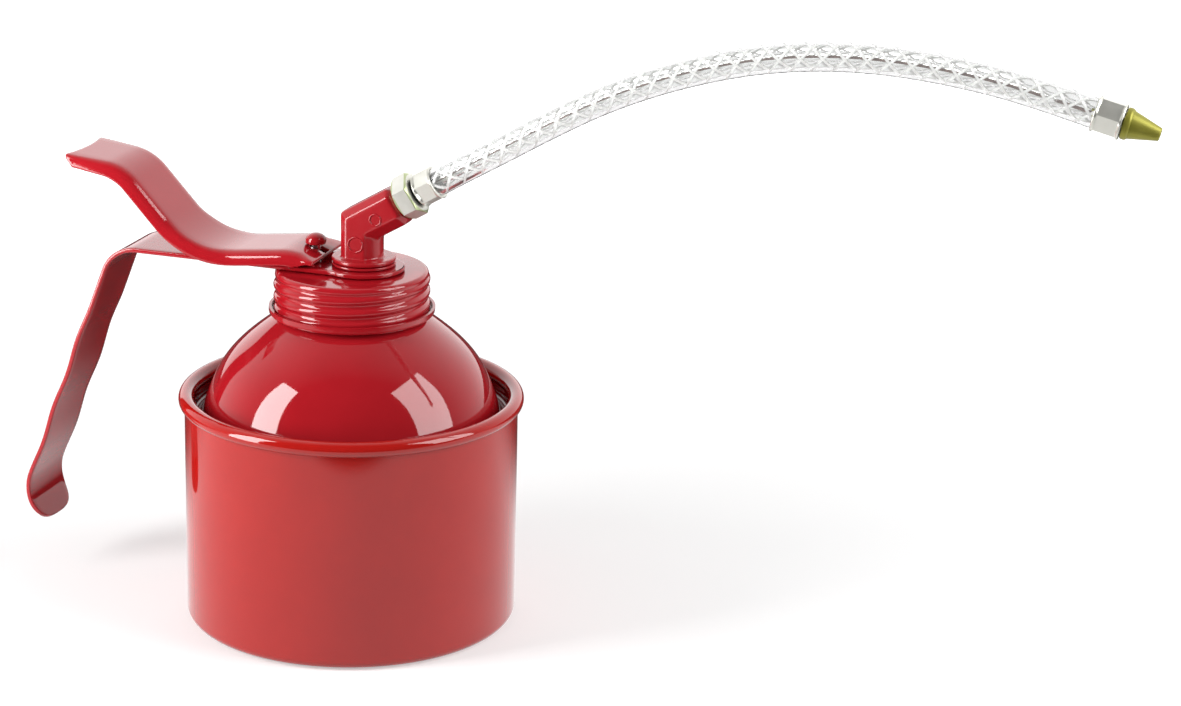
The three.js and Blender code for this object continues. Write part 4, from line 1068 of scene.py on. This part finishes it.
def press_flats(bm, flats, low, high, run_out=0.0):
    """Holds the points of a turned form inside six flats, between two heights."""
    for point in bm.verts:
        radius = math.hypot(point.co.x, point.co.y)
        if not low <= point.co.z <= high or radius < NEAR_AXIS:
            continue
        turn = math.atan2(point.co.y, point.co.x)
        limit = flats / 2 / math.cos((turn + FLAT / 2) % FLAT - FLAT / 2)
        depth = max(0, radius - limit)
        if run_out:
            depth *= ease((point.co.z - low) / run_out) * ease((high - point.co.z) / run_out)
        point.co.x *= (radius - depth) / radius
        point.co.y *= (radius - depth) / radius
    return bm


print("a flat takes", round(math.degrees(FLAT)), "degrees")

# %% Outline of the hose fitting
FIT_GAP = 0.3
HEX_LENGTH, HEX_FLATS = 5.2, 11.5
CHAMFER_SET, CHAMFER_ANGLE, CHAMFER_STEPS = 0.15, math.radians(30), 8
COLLAR_RADIUS, COLLAR_LENGTH = 3.9, 0.7
STUB_RADIUS, STUB_LENGTH = 3.6, 5.0
BARB_RADIUS, BARB_LENGTH, FITTING_BORE = 1.8, 9.0, 1.1

corner = HEX_FLATS / math.sqrt(3)
chamfer_radius = HEX_FLATS / 2 - CHAMFER_SET
chamfer_width = corner - chamfer_radius
slope = chamfer_width * math.tan(CHAMFER_ANGLE)
hex_start, hex_end = FIT_GAP, FIT_GAP + HEX_LENGTH
collar_end = hex_end + COLLAR_LENGTH
barb_end = collar_end + FIT_GAP + BARB_LENGTH
shares = [i / CHAMFER_STEPS for i in range(CHAMFER_STEPS + 1)]
chamfer_low = [(chamfer_radius + chamfer_width * share, hex_start + slope * share) for share in shares]
chamfer_high = [(radius, hex_start + hex_end - height) for radius, height in reversed(chamfer_low)]
fitting_outline = [(FITTING_BORE, -STUB_LENGTH), (STUB_RADIUS, -STUB_LENGTH), (STUB_RADIUS, hex_start)]
fitting_outline += chamfer_low + chamfer_high
fitting_outline += [(COLLAR_RADIUS, hex_end), (COLLAR_RADIUS, collar_end), (BARB_RADIUS, collar_end)]
fitting_outline += [(BARB_RADIUS, barb_end), (FITTING_BORE, barb_end), (FITTING_BORE, -STUB_LENGTH)]
print("fitting outline of", len(fitting_outline), "points")

# %% Hose fitting
HEX_TURN = math.radians(-24)
GAP_SHADE, ON_CHAMFER = 1, 2

bm = press_flats(lathe(fitting_outline, steps=96), HEX_FLATS, hex_start, hex_end)
for face in bm.faces:
    height = face.calc_center_median().z
    # The collar's faces are painted black: painted shade for the gap between hexagon and ferrule.
    if hex_end < height < collar_end:
        face.material_index = GAP_SHADE
    elif hex_start < height < hex_start + slope or hex_end - slope < height < hex_end:
        face.material_index = ON_CHAMFER
placed(bm, on_spout(SPOUT_LENGTH) @ Matrix.Rotation(HEX_TURN, 4, "Z"))
fitting_finishes = [zinc_plate, black_rubber, pale_chromate]
piece(bm, "hose_hexagon", "pump_head", fitting_finishes, ["hose_fitting"])

# %% Ferrules
FERRULE_RADIUS, FERRULE_BORE, FERRULE_ROUND = 4.95, 4.2, 0.35
FERRULE_FLATS = 2 * FERRULE_RADIUS * math.cos(FLAT / 2)
LOWER_TURN, UPPER_TURN = math.radians(-15), math.radians(-10)
CRIMP_FROM, CRIMP_FADE = 0.3, 0.6


def ferrule(length):
    inside, top = FERRULE_RADIUS - FERRULE_ROUND, length - FERRULE_ROUND
    outline = [(FERRULE_BORE, 0)] + arc((inside, FERRULE_ROUND), FERRULE_ROUND, -90, 0, steps=4)
    outline += rows(FERRULE_RADIUS, top, FERRULE_ROUND)[-2:0:-1]
    outline += arc((inside, top), FERRULE_ROUND, 0, 90, steps=4)
    outline += [(FERRULE_BORE, length), (FERRULE_BORE, 0)]
    turned = lathe(outline, steps=96)
    return press_flats(turned, FERRULE_FLATS, CRIMP_FROM, length - CRIMP_FROM, run_out=CRIMP_FADE)


bm = placed(ferrule(LOWER_FERRULE), on_spout(HOSE_START) @ Matrix.Rotation(LOWER_TURN, 4, "Z"))
piece(bm, "lower_crimp", "pump_head", [zinc_plate], ["lower_ferrule"], crisp=40)
bm = placed(ferrule(UPPER_FERRULE), on_nozzle(HOSE_LEAD) @ Matrix.Rotation(UPPER_TURN, 4, "Z"))
upper = piece(bm, "upper_crimp", "pump_head", [zinc_plate], ["upper_ferrule"], crisp=40)

# %% Nozzle
NOZZLE_LENGTH, NOZZLE_BASE, NOZZLE_ROUND, NOZZLE_EASE = 9.8, 4.3, 1.0, 0.2
NOZZLE_TIP, NOZZLE_BORE, TIP_EASE = 1.8, 0.8, 0.3

nozzle_outline = [(NOZZLE_BORE, -BARB_LENGTH), (BARB_RADIUS, -BARB_LENGTH), (BARB_RADIUS, 0)]
nozzle_outline += [(NOZZLE_BASE - NOZZLE_EASE, 0), (NOZZLE_BASE, NOZZLE_EASE)]
nozzle_outline += arc((NOZZLE_BASE - NOZZLE_ROUND, NOZZLE_ROUND), NOZZLE_ROUND, 0, 60, steps=8)
nozzle_outline += arc((NOZZLE_TIP - TIP_EASE, NOZZLE_LENGTH - TIP_EASE), TIP_EASE, 15, 90, steps=5)
nozzle_outline += [(NOZZLE_BORE, NOZZLE_LENGTH - NOZZLE_EASE), (NOZZLE_BORE, -BARB_LENGTH)]
bm = placed(lathe(nozzle_outline, steps=96), on_nozzle(HOSE_LEAD + UPPER_FERRULE + FIT_GAP))
nozzle = piece(bm, "spout_nozzle", "pump_head", [yellow_chromate], ["nozzle"])

# %% The hose's route in metres
tuple(route[0] * MM)
[tuple(p * MM) for p in smooth_route(route, 6)]
print("hose declared,", round(hose_travel[-1]), "mm long")

# %% [markdown]
# ## Inside the can
# What the cap hides keeps its solid shape, but not its plain colour: brass, steel, rubber, fibre and leather
# each get a finish with the grain that the real stuff has, because the pump may be shown taken apart. Every
# solid takes the finish of its slot, also the ones that a finer piece stands for.

# %% Finishes inside the can
pump_brass = metal("turned_brass", srgb(176, 140, 70), srgb(204, 170, 98), gloss=0.22)
red_fibre = Finish("red_fibre")
red_fibre.surface({
    "Base Color": red_fibre.mix(red_fibre.noise(0.6, detail=5), srgb(78, 30, 22), srgb(104, 46, 34)),
    "Roughness": 0.65,
    "Normal": red_fibre.bump(red_fibre.noise(0.2), 0.02),
})
cup_leather = Finish("cup_leather")
cup_leather.surface({
    "Base Color": cup_leather.mix(cup_leather.noise(0.9, detail=5), srgb(74, 46, 28), srgb(112, 74, 46)),
    "Roughness": 0.45 + 0.2 * cup_leather.noise(1.5),
    "Normal": cup_leather.bump(cup_leather.noise(0.35, detail=4), 0.04),
})
print("finishes inside:", [f.material.name for f in (pump_brass, red_fibre, cup_leather)])

# %% A finish for every solid
slot_finishes = {
    "black_rubber": black_rubber, "plain_steel": bright_steel, "red_fibre": red_fibre,
    "cup_leather": cup_leather, "pump_brass": pump_brass, "zinc_plate": zinc_plate,
    "yellow_chromate": yellow_chromate, "red_paint": dome_enamel, "braided_hose": clear_pvc,
}
for subpart in frame["record"]["subparts"]:
    solid = frame["nodes"][subpart["node"]]
    for place in solid.material_slots:
        place.material = slot_finishes[subpart["material_slot"]].material

# %% [markdown]
# ## Floor and light
# A catalogue picture is taken on white, between two tall soft lamps. Their reflections are the long
# highlights on the dome, so the lamps stand where those highlights say: one close by on the left, one further
# off on the right. A weak one behind lights the can's far side and isn't mirrored. Paint shows what stands
# round it: a sheet of white paper under the can, which ends a hand's length before it, and a room that is
# white at the back and dark behind the camera. The floor glows white far off and less near the can, where the
# lamps light it and the shadow falls.

# %% Masks for floor and room
def grey(level):
    return level, level, level, 1


def towards(nodes, place, direction):
    """How far a place lies along a direction."""
    product = {"operation": "DOT_PRODUCT"}
    return nodes.node("ShaderNodeVectorMath", product, {0: place, 1: direction}, output="Value")


def kinds_of_rays(nodes):
    """Masks of what is seen by the camera, mirrored in gloss and seen through something clear."""
    kinds = ("Is Camera Ray", "Is Glossy Ray", "Is Transmission Ray")
    return [nodes.node("ShaderNodeLightPath", output=kind) for kind in kinds]


print("white:", grey(1))

# %% Floor finish
PAPER_BACK, PAPER_FRONT = (-0.15, -0.05), (0.2, 0.225)
PAPER_GLOW, NEAR_GLOW, FAR_GLOW = 0.95, 0.42, 0.9
GLOW_FADE = (0.1, 0.7)
FLOOR_GREY, MIRRORED_GREY = grey(0.6), grey(0.06)

floor_finish = Finish("white_floor")
seen, mirrored, seen_through = kinds_of_rays(floor_finish)
in_front = towards(floor_finish, floor_finish.place(), towards_camera)
paper = floor_finish.ramp(in_front, *PAPER_BACK) * (1 - floor_finish.ramp(in_front, *PAPER_FRONT))
length = {"operation": "LENGTH"}
away = floor_finish.node("ShaderNodeVectorMath", length, {0: floor_finish.place()}, output="Value")
seen_glow = seen * (NEAR_GLOW + (FAR_GLOW - NEAR_GLOW) * floor_finish.ramp(away, *GLOW_FADE))
glow = seen_glow + (seen_through + (mirrored - seen_through) * paper) * PAPER_GLOW
floor_finish.surface({
    "Base Color": floor_finish.mix(mirrored, FLOOR_GREY, MIRRORED_GREY),
    "Roughness": 1.0,
    "Specular IOR Level": 0.0,
    "Emission Color": floor_finish.mix(glow, grey(0), grey(1)),
    "Emission Strength": 1.0,
})
print("floor finish:", floor_finish.material.name)

# %% White floor
FLOOR_HALF, FLOOR_DROP = 6.0, 0.0003

bm = bmesh.new()
bmesh.ops.create_grid(bm, x_segments=2, y_segments=2, size=FLOOR_HALF)
bmesh.ops.translate(bm, verts=bm.verts, vec=(0, 0, -FLOOR_DROP))
floor_mesh = bpy.data.meshes.new("floor")
bm.to_mesh(floor_mesh)
bm.free()
floor_mesh.materials.append(floor_finish.material)
floor = bpy.data.objects.new("floor", floor_mesh)
bpy.context.collection.objects.link(floor)
print("floor", 2 * FLOOR_HALF, "m wide")


# %% Soft lamps
def soft_lamp(name, right, front, height, aim, size, watts, mirrored=True):
    """A lamp that is so far to the right and in front of the can, and faces its axis at a height."""
    lamp = bpy.data.objects.new(name, bpy.data.lights.new(name, "AREA"))
    lamp.data.shape = "RECTANGLE"
    lamp.data.size, lamp.data.size_y = size
    lamp.data.energy = watts
    lamp.location = to_the_right * right + towards_camera * front + Vector((0, 0, height))
    lamp.rotation_euler = (lamp.location - Vector((0, 0, aim))).to_track_quat("Z", "Y").to_euler()
    lamp.visible_camera = False
    lamp.visible_glossy = mirrored
    bpy.context.collection.objects.link(lamp)
    print(name, "at", lamp.location, watts, "W")


soft_lamp("left_lamp", right=-0.357, front=0.134, height=0.235, aim=0.235, size=(0.15, 0.46), watts=2.55)
soft_lamp("right_lamp", right=0.86, front=0.33, height=0.61, aim=0.08, size=(0.62, 0.9), watts=10.5)
soft_lamp("back_lamp", right=0.0, front=-0.9, height=0.2, aim=0.08, size=(0.9, 0.3), watts=4.0,
          mirrored=False)

# %% White room, dark behind the camera
AMBIENT = 0.25
ROOM_LIGHT, ROOM_EDGE, ROOM_DARK = 1.15, 0.36, 0.05

world = bpy.data.worlds.new("white_room")
bpy.context.scene.world = world
world.use_nodes = True
room = Nodes(world.node_tree)
seen, mirrored, seen_through = kinds_of_rays(room)
facing = towards(room, room.node("ShaderNodeTexCoord", output="Generated"), towards_camera)
mirror_image = facing.maths("MAXIMUM", ROOM_LIGHT * (ROOM_EDGE - facing), ROOM_DARK)
light = room.mix(mirrored, grey(AMBIENT), mirror_image)
background = world.node_tree.nodes["Background"].inputs["Color"]
room.feed(background, room.mix(seen + seen_through, light, grey(1)))
bpy.context.scene.view_settings.view_transform = "Standard"
print("room light:", AMBIENT)
